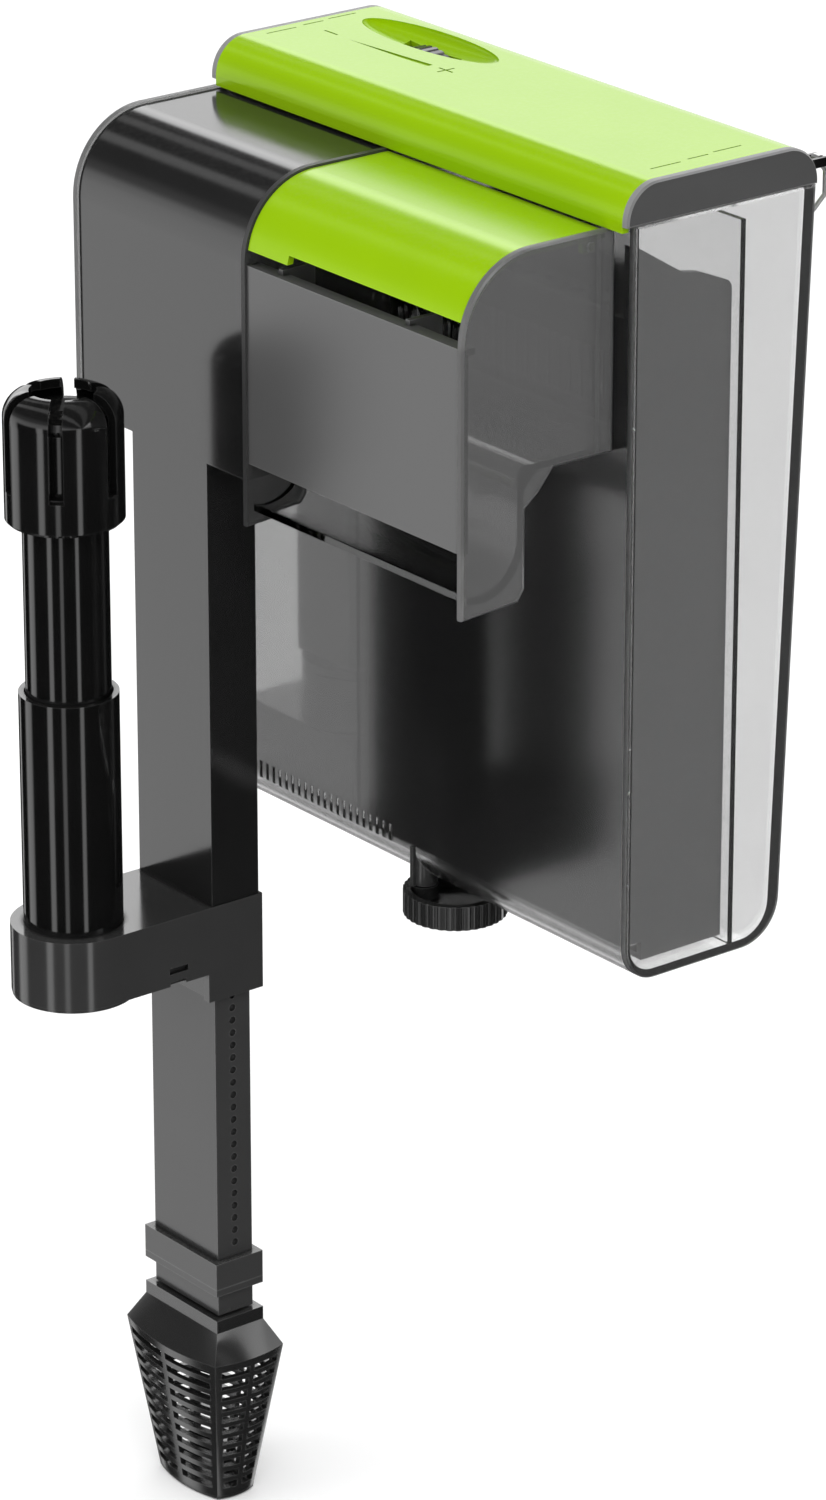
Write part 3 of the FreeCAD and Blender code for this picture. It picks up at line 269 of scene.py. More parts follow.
LAMPS = [
    ("lamp_over_spout_end", (1.3, -0.5, 1.5), 14.0, 1.2),
    ("lamp_over_water_side", (-0.6, -1.4, 1.2), 7.0, 1.0),
]
for name, place, watts, side in LAMPS:
    soft_lamp(name, place, watts, side)

# %% [markdown]
# ## Shared surface effects
#
# Moulded plastic is never perfectly even. The mould's steel leaves a fine grain, the melt leaves slow
# ripples and clouds, corners get polished by handling, dust settles on what faces up, wiping leaves hairline
# scratches, and grooves and corners are darkened with painted shade. Each of these is a shader node group
# with its own named inputs, so that every finish can use it at its own strength. A group gives out masks and
# heights only, and the shader stays in the material.


# %% Start a node group
def start_group(name, inputs, outputs):
    """An empty shader node group with named inputs (name, default, lowest, highest) and float outputs."""
    group = bpy.data.node_groups.new(name, "ShaderNodeTree")
    for label, default, lowest, highest in inputs:
        socket = group.interface.new_socket(label, in_out="INPUT", socket_type="NodeSocketFloat")
        socket.default_value, socket.min_value, socket.max_value = default, lowest, highest
    for label in outputs:
        group.interface.new_socket(label, in_out="OUTPUT", socket_type="NodeSocketFloat")
    return group, group.nodes.new("NodeGroupInput"), group.nodes.new("NodeGroupOutput")


def own_place(tree):
    """The point on the part in its own coordinates, which are metres in the filter's frame."""
    return put(tree, "ShaderNodeTexCoord").outputs["Object"]


def cloud(tree, scale, detail=2.0, place=None):
    """Soft noise. scale is a number or an output socket."""
    node = put(tree, "ShaderNodeTexNoise", {"Detail": detail})
    wire(tree, place or own_place(tree), node.inputs["Vector"])
    if isinstance(scale, (int, float)):
        node.inputs["Scale"].default_value = scale
    else:
        wire(tree, scale, node.inputs["Scale"])
    return node.outputs[0]


# %% Mould grain: fine pebbles on slow ripples
grain_group, given, out = start_group(
    "mould grain",
    [("Grains per Metre", 2500, 10, 20000), ("Grain", 0.3, 0, 1), ("Ripple", 0.3, 0, 1)],
    ["Height", "Cloud"],
)
pebbles = cloud(grain_group, given.outputs["Grains per Metre"], 3.0)
slow = cloud(grain_group, 22.0, 1.0)
height = maths(grain_group, "MULTIPLY", pebbles, given.outputs["Grain"])
slow_height = maths(grain_group, "MULTIPLY", slow, given.outputs["Ripple"])
wire(grain_group, maths(grain_group, "ADD", height, slow_height), out.inputs["Height"])
wire(grain_group, cloud(grain_group, 38.0, 4.0), out.inputs["Cloud"])
print("group:", grain_group.name)

# %% Edge wear: corners polished by hands
wear_group, given, out = start_group(
    "edge wear", [("Width", 0.0006, 0, 0.01), ("Amount", 0.5, 0, 1)], ["Mask"]
)
rounded = put(wear_group, "ShaderNodeBevel", samples=4)
wire(wear_group, given.outputs["Width"], rounded.inputs["Radius"])
true_normal = put(wear_group, "ShaderNodeNewGeometry").outputs["Normal"]
agree = put(wear_group, "ShaderNodeVectorMath", operation="DOT_PRODUCT")
wire(wear_group, rounded.outputs[0], agree.inputs[0])
wire(wear_group, true_normal, agree.inputs[1])
near_edge = put(wear_group, "ShaderNodeMapRange", {"From Min": 0.995, "From Max": 0.86})
wire(wear_group, agree.outputs["Value"], near_edge.inputs["Value"])
patchy = maths(wear_group, "MULTIPLY_ADD", cloud(wear_group, 260.0, 4.0), 1.2, 0.1)
mask = maths(wear_group, "MULTIPLY", near_edge.outputs[0], patchy)
wire(wear_group, maths(wear_group, "MULTIPLY", mask, given.outputs["Amount"]), out.inputs["Mask"])
print("group:", wear_group.name)

# %% Settled dust: a thin film on what faces up
dust_group, given, out = start_group("settled dust", [("Amount", 0.1, 0, 1)], ["Mask"])
facing = put(dust_group, "ShaderNodeSeparateXYZ")
wire(dust_group, put(dust_group, "ShaderNodeNewGeometry").outputs["Normal"], facing.inputs[0])
upward = put(dust_group, "ShaderNodeMapRange", {"From Min": 0.55, "From Max": 1.0})
wire(dust_group, facing.outputs["Z"], upward.inputs["Value"])
speckle = put(dust_group, "ShaderNodeMapRange", {"From Min": 0.42, "From Max": 0.75})
wire(dust_group, cloud(dust_group, 900.0, 5.0), speckle.inputs["Value"])
mask = maths(dust_group, "MULTIPLY", upward.outputs[0], speckle.outputs[0])
wire(dust_group, maths(dust_group, "MULTIPLY", mask, given.outputs["Amount"]), out.inputs["Mask"])
print("group:", dust_group.name)

# %% Hairlines: fine scratches in two directions
hair_group, given, out = start_group(
    "hairlines", [("Lines per Metre", 900, 1, 9000), ("Amount", 0.2, 0, 1)], ["Mask"]
)
found = None
for turn in ((0.3, 0.2, 0.5), (-0.4, 0.7, -0.6)):
    stretch = put(hair_group, "ShaderNodeMapping", {"Rotation": turn, "Scale": (0.02, 1.0, 1.0)})
    wire(hair_group, own_place(hair_group), stretch.inputs["Vector"])
    lines = cloud(hair_group, given.outputs["Lines per Metre"], 2.0, stretch.outputs[0])
    thin = put(hair_group, "ShaderNodeMapRange", {"From Min": 0.66, "From Max": 0.74})
    wire(hair_group, lines, thin.inputs["Value"])
    found = thin.outputs[0] if found is None else maths(hair_group, "MAXIMUM", found, thin.outputs[0])
wire(hair_group, maths(hair_group, "MULTIPLY", found, given.outputs["Amount"]), out.inputs["Mask"])
print("group:", hair_group.name)

# %% Recess shade: painted shade in grooves and corners, found by ambient occlusion
recess_group, given, out = start_group(
    "recess shade", [("Reach", 0.002, 0, 0.05), ("Amount", 0.9, 0, 1)], ["Mask"]
)
# Painted shade: the mask rises where ambient occlusion finds the surface closed in, and the finishes darken
# their colour there.
openness = put(recess_group, "ShaderNodeAmbientOcclusion", samples=6)
wire(recess_group, given.outputs["Reach"], openness.inputs["Distance"])
closed = put(recess_group, "ShaderNodeMapRange", {"From Min": 0.86, "From Max": 0.50})
wire(recess_group, openness.outputs["AO"], closed.inputs["Value"])
mask = maths(recess_group, "MULTIPLY", closed.outputs[0], given.outputs["Amount"])
wire(recess_group, mask, out.inputs["Mask"])
print("group:", recess_group.name)

# %% [markdown]
# ## One recipe for moulded plastic
#
# Most of the filter is injection moulded. The lime lids, the black skimmer and the graphite intake differ
# in colour and gloss, but not in how they are made. One function builds the whole tree: the melt's clouds
# shift the colour a little, worn corners, dust and painted shade in the grooves go over it, scratches and
# clouds change the roughness, and the grain lifts the surface through a Bump node.


# %% Recipe: moulded plastic
def use_group(tree, group, **values):
    """Places a shared effect in a material with its own strengths."""
    node = put(tree, "ShaderNodeGroup")
    node.node_tree = group
    for label, value in values.items():
        node.inputs[label.replace("_", " ")].default_value = value
    return node


def start_finish(name, **plain):
    """A new material with its shader. plain sets the shader's own sockets that are even all over."""
    material = bpy.data.materials.new(name)
    material.use_nodes = True
    shader = material.node_tree.nodes["Principled BSDF"]
    for label, value in plain.items():
        shader.inputs[label.replace("_", " ")].default_value = value
    return material, material.node_tree, shader


WEAR_WIDTH = 0.0005
DUST = (0.55, 0.54, 0.5, 1)
# The last two serve the painted shade in grooves and corners: how much rougher they get, and the fraction of
# the colour they are darkened to.
SCRATCH_ROUGHENS, RECESS_ROUGHENS, PAINTED_SHADE_DARKENS = 0.5, 0.4, 0.12
MM = 0.001


def moulded(name, colour, deep, roughness, grain=0.25, ripple=0.3, size=2500.0, wear=0.3, worn=None,
            dust=0.05, scratch=0.04, recess=0.95, bump_mm=0.02, spread=0.06, **plain):
    """Moulded plastic. deep is the colour where the melt lies thick, worn the colour of polished corners."""
    worn = worn or tuple(min(1, c * 1.6 + 0.02) for c in colour[:3]) + (1,)
    # The colour of the painted shade in grooves and corners.
    painted_shade_colour = tuple(c * PAINTED_SHADE_DARKENS for c in colour[:3]) + (1,)
    material, tree, shader = start_finish(name, **plain)
    surface = use_group(tree, grain_group, Grains_per_Metre=size, Grain=grain, Ripple=ripple)
    edges = use_group(tree, wear_group, Width=WEAR_WIDTH, Amount=wear)
    film = use_group(tree, dust_group, Amount=dust)
    lines = use_group(tree, hair_group, Amount=scratch)
    body = blend_colours(tree, surface.outputs["Cloud"], colour, deep)
    body = blend_colours(tree, edges.outputs["Mask"], body, worn)
    body = blend_colours(tree, film.outputs["Mask"], body, DUST)
    # Painted shade: the colour darkens in grooves and corners.
    painted_recess_shade = use_group(tree, recess_group, Amount=recess)
    body = blend_colours(tree, painted_recess_shade.outputs["Mask"], body, painted_shade_colour)
    wire(tree, body, shader.inputs["Base Color"])
    rough = maths(tree, "MULTIPLY_ADD", surface.outputs["Cloud"], spread, roughness - spread / 2)
    rough = maths(tree, "MULTIPLY_ADD", lines.outputs["Mask"], SCRATCH_ROUGHENS, rough)
    rough = maths(tree, "ADD", rough, film.outputs["Mask"])
    rough = maths(tree, "MULTIPLY_ADD", painted_recess_shade.outputs["Mask"], RECESS_ROUGHENS, rough)
    wire(tree, rough, shader.inputs["Roughness"])
    bump = put(tree, "ShaderNodeBump", {"Strength": 0.6, "Distance": bump_mm * MM})
    wire(tree, surface.outputs["Height"], bump.inputs["Height"])
    wire(tree, bump.outputs[0], shader.inputs["Normal"])
    return material


LIME = (0.245, 0.430, 0.001, 1)
LIME_DEEP = (0.220, 0.395, 0.001, 1)
finishes = {
    "lime_plastic": moulded("lime_gloss", LIME, LIME_DEEP, 0.20, grain=0.12, dust=0.03, recess=0.5,
                            worn=(0.40, 0.66, 0.06, 1), IOR=1.5, Specular_Tint=(0.62, 1.0, 0.02, 1)),
    "black_plastic": moulded("black_gloss", grey(0.003), grey(0.006), 0.09, grain=0.08, wear=0.4,
                             worn=grey(0.06), dust=0.02, IOR=1.52),
    "graphite_plastic": moulded("graphite_satin", grey(0.028), grey(0.036), 0.24, grain=0.5, wear=0.5,
                                worn=grey(0.16), IOR=1.5),
    "dark_smoke": moulded("dark_smoke_gloss", grey(0.007), grey(0.011), 0.12, grain=0.06, wear=0.4,
                          worn=grey(0.12), dust=0.02, IOR=1.55),
    "basket_plastic": moulded("charcoal_satin", grey(0.018), grey(0.024), 0.38, grain=0.6, wear=0.3,
                              worn=grey(0.16), IOR=1.5),
}
print("moulded finishes:", sorted(finishes))

# %% [markdown]
# ## Smoked and clear walls
#
# The tank is moulded in smoked clear plastic and welded from walls about two millimetres thick. A flat alpha
# would look like tinted film. A wall that really bends light shows bright edges where the light runs along
# inside it, keeps its mirror gloss, and softens what stands further behind it. So these walls are like
# glass, with a real index of 1.49 and a little roughness from the polished mould. The tank's walls have only
# a trace of haze, while the bridge's plates and the lid's caps hold more pigment and let much less light
# through. The wall on the water side is rougher and has a darker tint, which is painted shade for the dark
# inside seen through it. Two flat plates close the tank's ends. Their sanded rims are rougher than their
# faces, and the rims' paler colour is a painted highlight. Along the rear and the bottom the shell's wall
# stands edge-on behind the plate and swallows light, so the plate gets a painted paler tint in that band.
# One group finds the rim and one function finds the band.


# %% Plate rims: the narrow edge round a flat plate
rim_group, given, out = start_group("plate rim", [], ["Mask"])
facing = put(rim_group, "ShaderNodeSeparateXYZ")
wire(rim_group, put(rim_group, "ShaderNodeTexCoord").outputs["Normal"], facing.inputs[0])
sideways = maths(rim_group, "ABSOLUTE", facing.outputs["X"])
edge_on = put(rim_group, "ShaderNodeMapRange", {"From Min": 0.92, "From Max": 0.55})
wire(rim_group, sideways, edge_on.inputs["Value"])
wire(rim_group, edge_on.outputs[0], out.inputs["Mask"])
FRONT_WALL_THICK = 0.0022
FRONT_WALL_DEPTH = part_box("tank_shell")[0].y + FRONT_WALL_THICK
print("group:", rim_group.name)

# %% A paler tint painted along the end wall's rear and bottom, where the shell's wall stands edge-on behind it
PAINTED_BAND_WIDE = 0.0046
REAR_CORNER = 0.012
REAR_LEAN = 0.0075
end_low, end_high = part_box("tank_end_right")
lean_per_rise = REAR_LEAN / (end_high.z - end_low.z)


def painted_edge_on_band(tree):
    """1 within the painted band's width of the wall's rear and bottom edges, following the rounded corner.
    """
    apart = put(tree, "ShaderNodeSeparateXYZ")
    wire(tree, own_place(tree), apart.inputs[0])
    risen = maths(tree, "SUBTRACT", apart.outputs["Z"], end_low.z)
    rear = maths(tree, "MULTIPLY_ADD", risen, lean_per_rise, end_high.y - REAR_LEAN)
    from_rear = maths(tree, "SUBTRACT", rear, apart.outputs["Y"])
    past_rear = maths(tree, "MAXIMUM", maths(tree, "SUBTRACT", REAR_CORNER, from_rear), 0.0)
    past_floor = maths(tree, "MAXIMUM", maths(tree, "SUBTRACT", REAR_CORNER, risen), 0.0)
    rear_square, floor_square = (maths(tree, "POWER", past, 2.0) for past in (past_rear, past_floor))
    from_centre = maths(tree, "SQRT", maths(tree, "ADD", rear_square, floor_square))
    return maths(tree, "GREATER_THAN", from_centre, REAR_CORNER - PAINTED_BAND_WIDE)


# %% Recipe: see-through walls
FRONT_ROUGHER, RIM_ROUGHER = 0.10, 0.35
SCRATCH_CLOUDS, DUST_CLOUDS = 0.25, 2.0


def see_through(name, tint, deep, roughness, clear=1.0, rim=None, front=None, border=None, scratch=0.05,
                bump_mm=0.02):
    """A clear or smoked moulded wall. tint is how much light it lets through, and clear is 1 without haze.
    rim is the colour painted on a flat plate's sanded edge for the light the edge catches, front the tint of
    the wall on the water side, darker as painted shade for the dark inside seen through it, and border the
    painted tint of the band that runs round the plate's rear and bottom, where the shell's wall stands
    edge-on behind it."""
    material, tree, shader = start_finish(name, IOR=1.49, Transmission_Weight=clear)
    surface = use_group(tree, grain_group, Grains_per_Metre=400.0, Grain=0.05, Ripple=0.6)
    lines = use_group(tree, hair_group, Lines_per_Metre=700.0, Amount=scratch)
    film = use_group(tree, dust_group, Amount=0.03)
    body = blend_colours(tree, surface.outputs["Cloud"], tint, deep)
    rough = maths(tree, "MULTIPLY_ADD", lines.outputs["Mask"], SCRATCH_CLOUDS, roughness)
    # The water-side wall gets a darker tint, painted shade for the dark inside seen through it, and a
    # rougher gloss.
    if front:
        apart = put(tree, "ShaderNodeSeparateXYZ")
        wire(tree, own_place(tree), apart.inputs[0])
        ahead = maths(tree, "LESS_THAN", apart.outputs["Y"], FRONT_WALL_DEPTH)
        body = blend_colours(tree, ahead, body, front)
        rough = maths(tree, "MULTIPLY_ADD", ahead, FRONT_ROUGHER, rough)
    # A paler tint is painted along the rear and bottom, where the shell's wall stands edge-on behind the
    # plate.
    if border:
        body = blend_colours(tree, painted_edge_on_band(tree), body, border)
    # The rim is rougher, and its colour is painted: it stands in for the light that the plate's edge
    # catches.
    if rim:
        on_rim = use_group(tree, rim_group).outputs["Mask"]
        body = blend_colours(tree, on_rim, body, rim)
        rough = maths(tree, "MULTIPLY_ADD", on_rim, RIM_ROUGHER, rough)
    wire(tree, body, shader.inputs["Base Color"])
    rough = maths(tree, "MULTIPLY_ADD", film.outputs["Mask"], DUST_CLOUDS, rough)
    wire(tree, rough, shader.inputs["Roughness"])
    bump = put(tree, "ShaderNodeBump", {"Strength": 0.5, "Distance": bump_mm * MM})
    wire(tree, surface.outputs["Height"], bump.inputs["Height"])
    wire(tree, bump.outputs[0], shader.inputs["Normal"])
    return material


finishes["smoked_plastic"] = see_through("smoked_wall", grey(0.80), grey(0.76), 0.05, clear=0.98,
                                         front=grey(0.28))
finishes["clear_plastic"] = see_through("clear_wall", grey(0.93), grey(0.90), 0.03)
finishes["edge_smoke"] = see_through("smoked_plate", grey(0.34), grey(0.29), 0.08, clear=0.78,
                                     rim=grey(0.34))
tank_end_wall = see_through("smoked_end_wall", grey(0.82), grey(0.79), 0.06, clear=0.965, rim=grey(1.0),
                            border=grey(0.95))
lid_end_cap = see_through("smoked_end_cap", grey(0.085), grey(0.070), 0.12, clear=0.25, rim=grey(0.26))
dark_plate = see_through("dark_smoked_plate", grey(0.10), grey(0.08), 0.08, clear=0.6, rim=grey(0.06))
print("see-through finishes: smoked_plastic, clear_plastic, edge_smoke and the end plates")

# %% [markdown]
# ## Parts with a gloss of their own
#
# Three moulded parts differ a little from their neighbours. The spout's front panel is a rougher charcoal,
# and the skimmer's arm and the strainer are a slightly greyer black than the glossy tubes. Each takes the
# same recipe with its own values, so it stays moulded plastic and only its colour and gloss shift.

# %% Front panel, arm and strainer
front_panel = moulded("smoked_front_panel", grey(0.060), grey(0.072), 0.30, grain=0.06, wear=0.5,
                      worn=grey(0.25), IOR=1.55)
arm_black = moulded("arm_black", grey(0.024), grey(0.032), 0.14, grain=0.12, wear=0.4, worn=grey(0.08),
                    dust=0.02, IOR=1.52)
strainer_black = moulded("strainer_black", grey(0.010), grey(0.016), 0.16, grain=0.15, wear=0.5,
                         worn=grey(0.10), dust=0.02, IOR=1.55)
print("own finishes:", front_panel.name, arm_black.name, strainer_black.name)

# %% [markdown]
# ## Metals, ceramic, rubber and ferrite
#
# The wire clip, the valve shaft and the wheel's screw are stainless steel, drawn or turned. The impeller
# runs on a polished ceramic shaft between rubber bushes. The magnet is pressed ferrite, the core is stacked
# steel sheet, and the winding is enamelled copper. The same shared effects serve them all; only the base
# colour, the metallic value and the pattern differ.

# %% Metals, ceramic, rubber and ferrite
finishes["stainless_steel"] = moulded("stainless_wire", grey(0.60), grey(0.50), 0.30, grain=0.1, wear=0.4,
                                      worn=grey(0.80), scratch=0.5, recess=0.3, Metallic=1.0)
finishes["seal_rubber"] = moulded("seal_rubber", grey(0.018), grey(0.028), 0.6, grain=0.8, size=4000.0,
                                  IOR=1.5)
finishes["shaft_ceramic"] = moulded("shaft_ceramic", (0.86, 0.85, 0.80, 1), (0.80, 0.79, 0.74, 1), 0.12,
                                    wear=0.0)
finishes["impeller_plastic"] = moulded("impeller_white", (0.74, 0.74, 0.70, 1), (0.66, 0.66, 0.62, 1), 0.35)
finishes["ferrite"] = moulded("pressed_ferrite", grey(0.045), grey(0.075), 0.5, grain=0.9, size=3500.0)


def striped(name, dark, bright, per_metre, axis, roughness, **plain):
    """A finish with fine parallel lines, for stacked sheet or a wound coil."""
    material, tree, shader = start_finish(name, **plain)
    waves = put(tree, "ShaderNodeTexWave", {"Scale": per_metre, "Distortion": 0.4}, bands_direction=axis)
    wire(tree, own_place(tree), waves.inputs["Vector"])
    surface = use_group(tree, grain_group, Grains_per_Metre=1800.0, Grain=0.3, Ripple=0.2)
    tone = maths(tree, "MULTIPLY", waves.outputs["Fac"], surface.outputs["Cloud"])
    wire(tree, blend_colours(tree, tone, dark, bright), shader.inputs["Base Color"])
    rough = maths(tree, "MULTIPLY_ADD", surface.outputs["Cloud"], 0.2, roughness)
    wire(tree, rough, shader.inputs["Roughness"])
    bump = put(tree, "ShaderNodeBump", {"Strength": 0.8, "Distance": 0.0002})
    wire(tree, waves.outputs["Fac"], bump.inputs["Height"])
    wire(tree, bump.outputs[0], shader.inputs["Normal"])
    return material


finishes["core_steel"] = striped("stacked_sheet_steel", grey(0.20), grey(0.55), 320.0, "Z", 0.35,
                                 Metallic=1.0)
finishes["copper_wire"] = striped("enamelled_winding", (0.28, 0.07, 0.02, 1), (0.80, 0.34, 0.14, 1), 420.0,
                                  "Z", 0.25, Metallic=1.0)
print("metal and ceramic finishes done")

# %% [markdown]
# ## Foams, floss, felt and fired rings
#
# The media are what the filter is for. Open-cell sponge is a net of pores, floss is a mat of white fibres,
# the carbon pad is dark felt and the bio rings are fired clay full of fine holes. The pores are too small to
# model one by one, so a Voronoi pattern lowers them and darkens them with painted shade, while the soft
# bulge of each block is real mesh, made further down.


# %% Recipe: porous stuff
def porous(name, colour, pit, pores_per_metre, depth_mm, roughness, fibre=0.0, **plain):
    """Foam, felt, floss or fired clay. pit is the colour painted inside the pores as their shade."""
    material, tree, shader = start_finish(name, **plain)
    place = own_place(tree)
    if fibre:
        swirl = put(tree, "ShaderNodeMapping", {"Scale": (1.0, 1.0, fibre), "Rotation": (0.5, 0.35, 0.0)})
        wire(tree, place, swirl.inputs["Vector"])
        place = swirl.outputs[0]
    cells = put(tree, "ShaderNodeTexVoronoi", {"Scale": pores_per_metre, "Randomness": 1.0})
    wire(tree, place, cells.inputs["Vector"])
    surface = use_group(tree, grain_group, Grains_per_Metre=pores_per_metre * 2.2, Grain=0.6, Ripple=0.6)
    # Painted shade: the colour darkens towards the pit colour in each pore.
    hollow = put(tree, "ShaderNodeMapRange", {"From Min": 0.62, "From Max": 0.18})
    wire(tree, cells.outputs["Distance"], hollow.inputs["Value"])
    body = blend_colours(tree, hollow.outputs[0], colour, pit)
    paler = tuple(min(1.0, c * 1.25) for c in colour[:3]) + (1,)
    body = blend_colours(tree, maths(tree, "MULTIPLY", surface.outputs["Cloud"], 0.5), body, paler)
    wire(tree, body, shader.inputs["Base Color"])
    rough = maths(tree, "MULTIPLY_ADD", surface.outputs["Cloud"], 0.1, roughness)
    wire(tree, rough, shader.inputs["Roughness"])
    lift = maths(tree, "SUBTRACT", surface.outputs["Height"], hollow.outputs[0])
    bump = put(tree, "ShaderNodeBump", {"Strength": 1.0, "Distance": depth_mm * MM})
    wire(tree, lift, bump.inputs["Height"])
    wire(tree, bump.outputs[0], shader.inputs["Normal"])
    return material


finishes["foam"] = porous("float_foam", grey(0.06), grey(0.02), 2600.0, 0.15, 0.85)
finishes["sponge"] = porous("filter_sponge", (0.05, 0.05, 0.06, 1), grey(0.008), 800.0, 0.8, 0.9,
                            Sheen_Weight=0.2)
finishes["floss"] = porous("filter_floss", (0.84, 0.86, 0.88, 1), (0.50, 0.52, 0.55, 1), 700.0, 0.6, 0.95,
                           fibre=0.15, Sheen_Weight=0.3)
finishes["carbon_felt"] = porous("carbon_felt", grey(0.05), grey(0.01), 1500.0, 0.4, 0.9, fibre=0.3)
finishes["ceramic"] = porous("fired_clay", (0.72, 0.62, 0.50, 1), (0.42, 0.33, 0.25, 1), 1900.0, 0.25, 0.8)
print("porous finishes done")

# %% [markdown]
# ## Finish every hard part
#
# The record of the filter names a material slot for each part. Reading the slot from there, rather than
# listing every part again, means that no part is forgotten. Ten parts look a little different from the rest
# of their slot, so they have a finish of their own.

# %% Give each part its finish
slot_of = {row["node"]: row["material_slot"] for row in frame["record"]["subparts"]}
own_finish = {
    "tank_end_left": tank_end_wall,
    "tank_end_right": tank_end_wall,
    "lid_end_left": lid_end_cap,
    "lid_end_right": lid_end_cap,
    "spout_front_panel": front_panel,
    "spout_plate_left": dark_plate,
    "skimmer_base": arm_black,
    "base_cap": arm_black,
    "levelling_wheel": strainer_black,
    "intake_strainer": strainer_black,
}
for part, mesh_object in nodes.items():
    mesh_object.data.materials.clear()
    mesh_object.data.materials.append(own_finish.get(part, finishes[slot_of[part]]))
print("finished", len(nodes), "parts with", len(set(slot_of.values())), "finishes")

# %% [markdown]
# ## Soft media blocks
#
# Sponge, floss and the carbon pad are cut as blocks and pressed into the basket. A cut block never has
# sharp corners or flat sides: it swells a little between its edges and its surface is uneven. Cloth
# simulation would suit a sewn cushion, but foam has no skin to blow up, so each block starts as a fine grid
# on a box, its corners are rounded, its faces are pushed out or in by noise, and a subdivision smooths the
# result.


# %% Build a soft block inside a part's box
LUMPS_PER_METRE, PITS_PER_METRE = 160, 420


def soft_block(name, part, step, corner, swell, uneven, seed):
    """A foam block in the room of a hard part: rounded corners, faces that swell and an uneven skin."""
    low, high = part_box(part)
    centre, half = (low + high) / 2, (high - low) / 2
    counts = [max(2, round(2 * h / step)) for h in half]
    mesh = bmesh.new()
    for axis in range(3):
        a, b = [k for k in range(3) if k != axis]
        for side in (-1, 1):
            grid = {}
            for i in range(counts[a] + 1):
                for j in range(counts[b] + 1):
                    point = [0.0, 0.0, 0.0]
                    point[axis] = side
                    point[a], point[b] = 2 * i / counts[a] - 1, 2 * j / counts[b] - 1
                    grid[i, j] = mesh.verts.new(point)
            for i in range(counts[a]):
                for j in range(counts[b]):
                    corners = [grid[i, j], grid[i + 1, j], grid[i + 1, j + 1], grid[i, j + 1]]
                    mesh.faces.new(corners if (side > 0) == (axis != 1) else corners[::-1])
    bmesh.ops.remove_doubles(mesh, verts=mesh.verts, dist=1e-5)
    bmesh.ops.recalc_face_normals(mesh, faces=mesh.faces)
    offset = Vector((seed * 3.7, seed * 1.3, seed * 2.1))
    for vertex in mesh.verts:
        unit = vertex.co.copy()
        point = Vector([u * h for u, h in zip(unit, half)])
        inner = Vector([max(-h + corner, min(h - corner, p)) for p, h in zip(point, half)])
        away = point - inner
        if away.length > 1e-9:
            point = inner + away.normalized() * corner
        outward = (point - inner).normalized() if away.length > 1e-9 else unit.normalized()
        crown = 1.0
        for u in unit:
            crown *= 1.0 if abs(u) > 0.999 else math.cos(u * math.pi / 2) ** 0.5
        lumps = noise.noise(point * LUMPS_PER_METRE + offset)
        rough = lumps + 0.5 * noise.noise(point * PITS_PER_METRE + offset)
        point += outward * (crown * swell + rough * uneven - uneven)
        vertex.co = centre + point
    data = bpy.data.meshes.new(name)
    mesh.to_mesh(data)
    mesh.free()
    for face in data.polygons:
        face.use_smooth = True
    block = bpy.data.objects.new(name, data)
    bpy.context.scene.collection.objects.link(block)
    smooth = block.modifiers.new("smooth", "SUBSURF")
    smooth.levels = smooth.render_levels = 1
    return block


MEDIA = [
    ("sponge_block", "filter_sponge", "sponge", 0.0030, 0.0020, 0.0003, 0.0004, 1),
    ("floss_pad", "filter_floss", "floss", 0.0026, 0.0028, 0.0002, 0.0007, 2),
    ("carbon_felt_pad", "carbon_pad", "carbon_felt", 0.0026, 0.0016, 0.0003, 0.0003, 3),
]
for name, part, slot, step, corner, swell, uneven, seed in MEDIA:
    block = soft_block(name, part, step, corner, swell, uneven, seed)
    block.data.materials.append(finishes[slot])
    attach(block, "basket")
    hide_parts(part)
    print(name, "has", len(block.data.polygons), "faces")

# %% [markdown]
# ## The skimmer's float
#
# A ring of closed-cell foam under the crown keeps the upper tube at the water line. It is punched from
# sheet, so its outer edge is slightly barrelled and its cut faces are grained. Turning one profile round the
# tube's axis gives an even ring; a little noise on each point takes away the machined look.

# %% Turn the float ring
FLOAT_STEPS = 72
FLOAT_CLEARANCE = 0.0002
UNEVEN, RIPPLES_PER_METRE = 0.00008, 900
low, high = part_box("float_ring")
axis_x, axis_y = (low.x + high.x) / 2, (low.y + high.y) / 2
outer = (high.x - low.x) / 2
tube_low, tube_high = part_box("skimmer_float_tube")
inner = (tube_high.x - tube_low.x) / 2 + FLOAT_CLEARANCE
middle, half_height = (low.z + high.z) / 2, (high.z - low.z) / 2
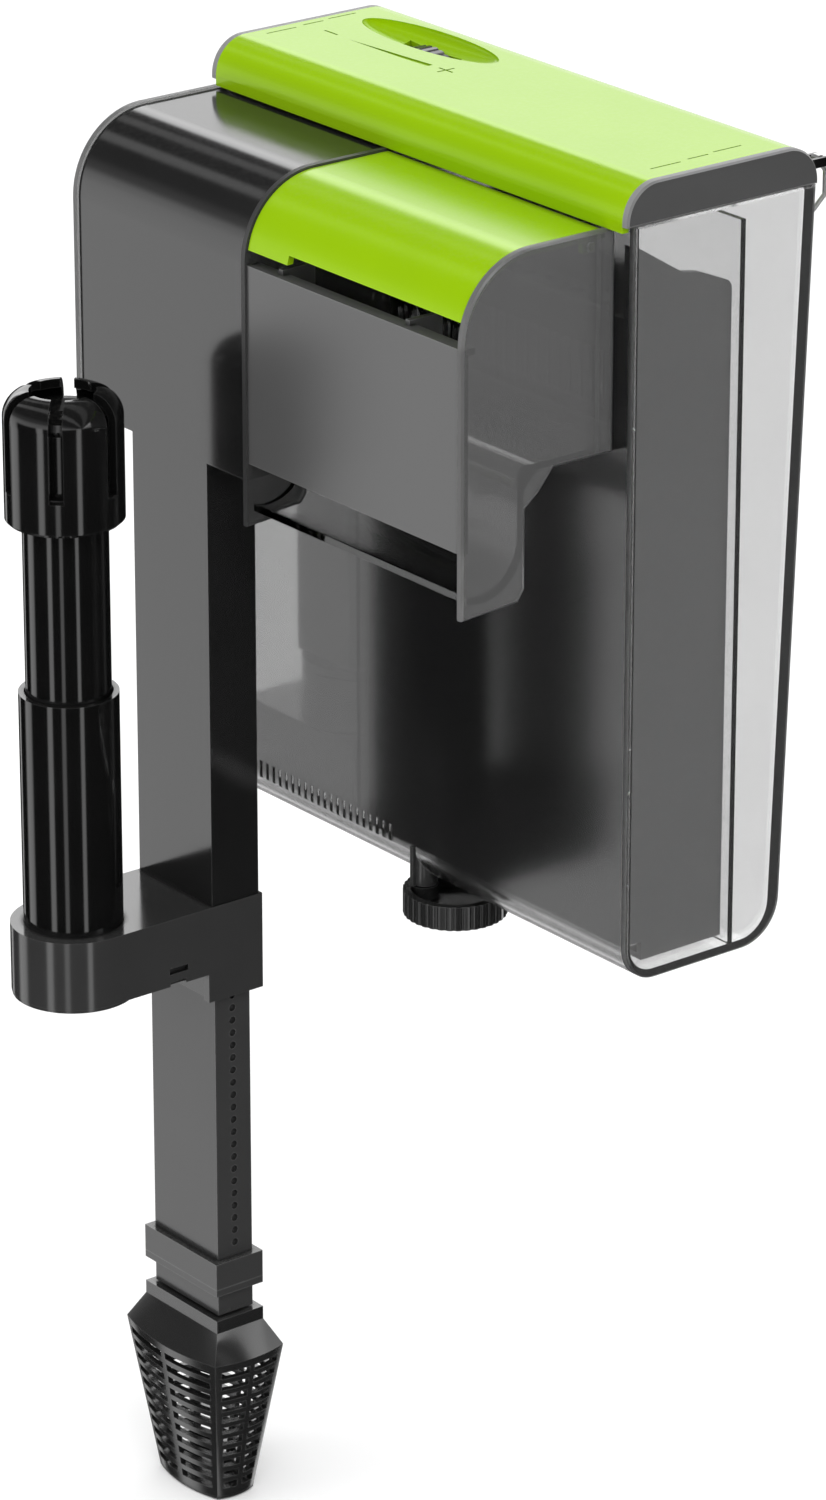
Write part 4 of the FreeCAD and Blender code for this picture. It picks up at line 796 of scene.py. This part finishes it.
# Each point is a radius and a level, from -1 at the ring's bottom to 1 at its top.
profile = [
    (inner, -0.80), (inner + 0.0004, -0.97), (outer - 0.0009, -1.0), (outer - 0.0002, -0.80),
    (outer, -0.3), (outer, 0.3), (outer - 0.0002, 0.80), (outer - 0.0009, 1.0), (inner + 0.0004, 0.97),
    (inner, 0.80), (inner, 0.0),
]
mesh = bmesh.new()
rings = []
for step in range(FLOAT_STEPS):
    angle = 2 * math.pi * step / FLOAT_STEPS
    ring = []
    for radius, level in profile:
        point = Vector((radius * math.cos(angle), radius * math.sin(angle), level * half_height))
        ripple = noise.noise(point * RIPPLES_PER_METRE)
        pull = UNEVEN * (ripple - 1.0) if radius > inner + 0.0005 else 0.0
        ring.append(mesh.verts.new(Vector((axis_x, axis_y, middle)) + point * (1 + pull / outer)))
    rings.append(ring)
for step in range(FLOAT_STEPS):
    here, there = rings[step], rings[(step + 1) % FLOAT_STEPS]
    for k in range(len(profile)):
        after = (k + 1) % len(profile)
        mesh.faces.new([here[k], here[after], there[after], there[k]])
bmesh.ops.recalc_face_normals(mesh, faces=mesh.faces)
data = bpy.data.meshes.new("float_foam_ring")
mesh.to_mesh(data)
mesh.free()
for face in data.polygons:
    face.use_smooth = True
float_ring = bpy.data.objects.new("float_foam_ring", data)
bpy.context.scene.collection.objects.link(float_ring)
float_ring.data.materials.append(finishes["foam"])
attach(float_ring, "float")
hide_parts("float_ring")
print("float ring:", len(data.polygons), "faces")

# %% [markdown]
# ## The floor
#
# The filter stands in front of a plain pale surface. A very slight, slow change in its tone keeps it from
# looking computed.

# %% Floor
FLOOR_SIDE = 40.0
FLOOR_GAP = 0.0005
floor_level = frame_box[0].z - FLOOR_GAP
data = bpy.data.meshes.new("floor")
reach = FLOOR_SIDE / 2
corners = [(x * reach, y * reach, floor_level) for x, y in ((-1, -1), (1, -1), (1, 1), (-1, 1))]
data.from_pydata(corners, [], [(0, 1, 2, 3)])
floor = bpy.data.objects.new("floor", data)
bpy.context.scene.collection.objects.link(floor)
material, tree, shader = start_finish("pale_paper", Roughness=0.9, Specular_IOR_Level=0.1)
tone = cloud(tree, 1.5, 1.0)
wire(tree, blend_colours(tree, tone, grey(0.93), grey(0.96)), shader.inputs["Base Color"])
floor.data.materials.append(material)
floor.visible_glossy = False
print("floor at", round(floor_level, 4))

# %% [markdown]
# ## The size of the frame
#
# Finishing must not change how big the filter is. The box of the frame is printed.

# %% Size of the frame
print("frame box", [round(v, 4) for c in frame_box for v in c])
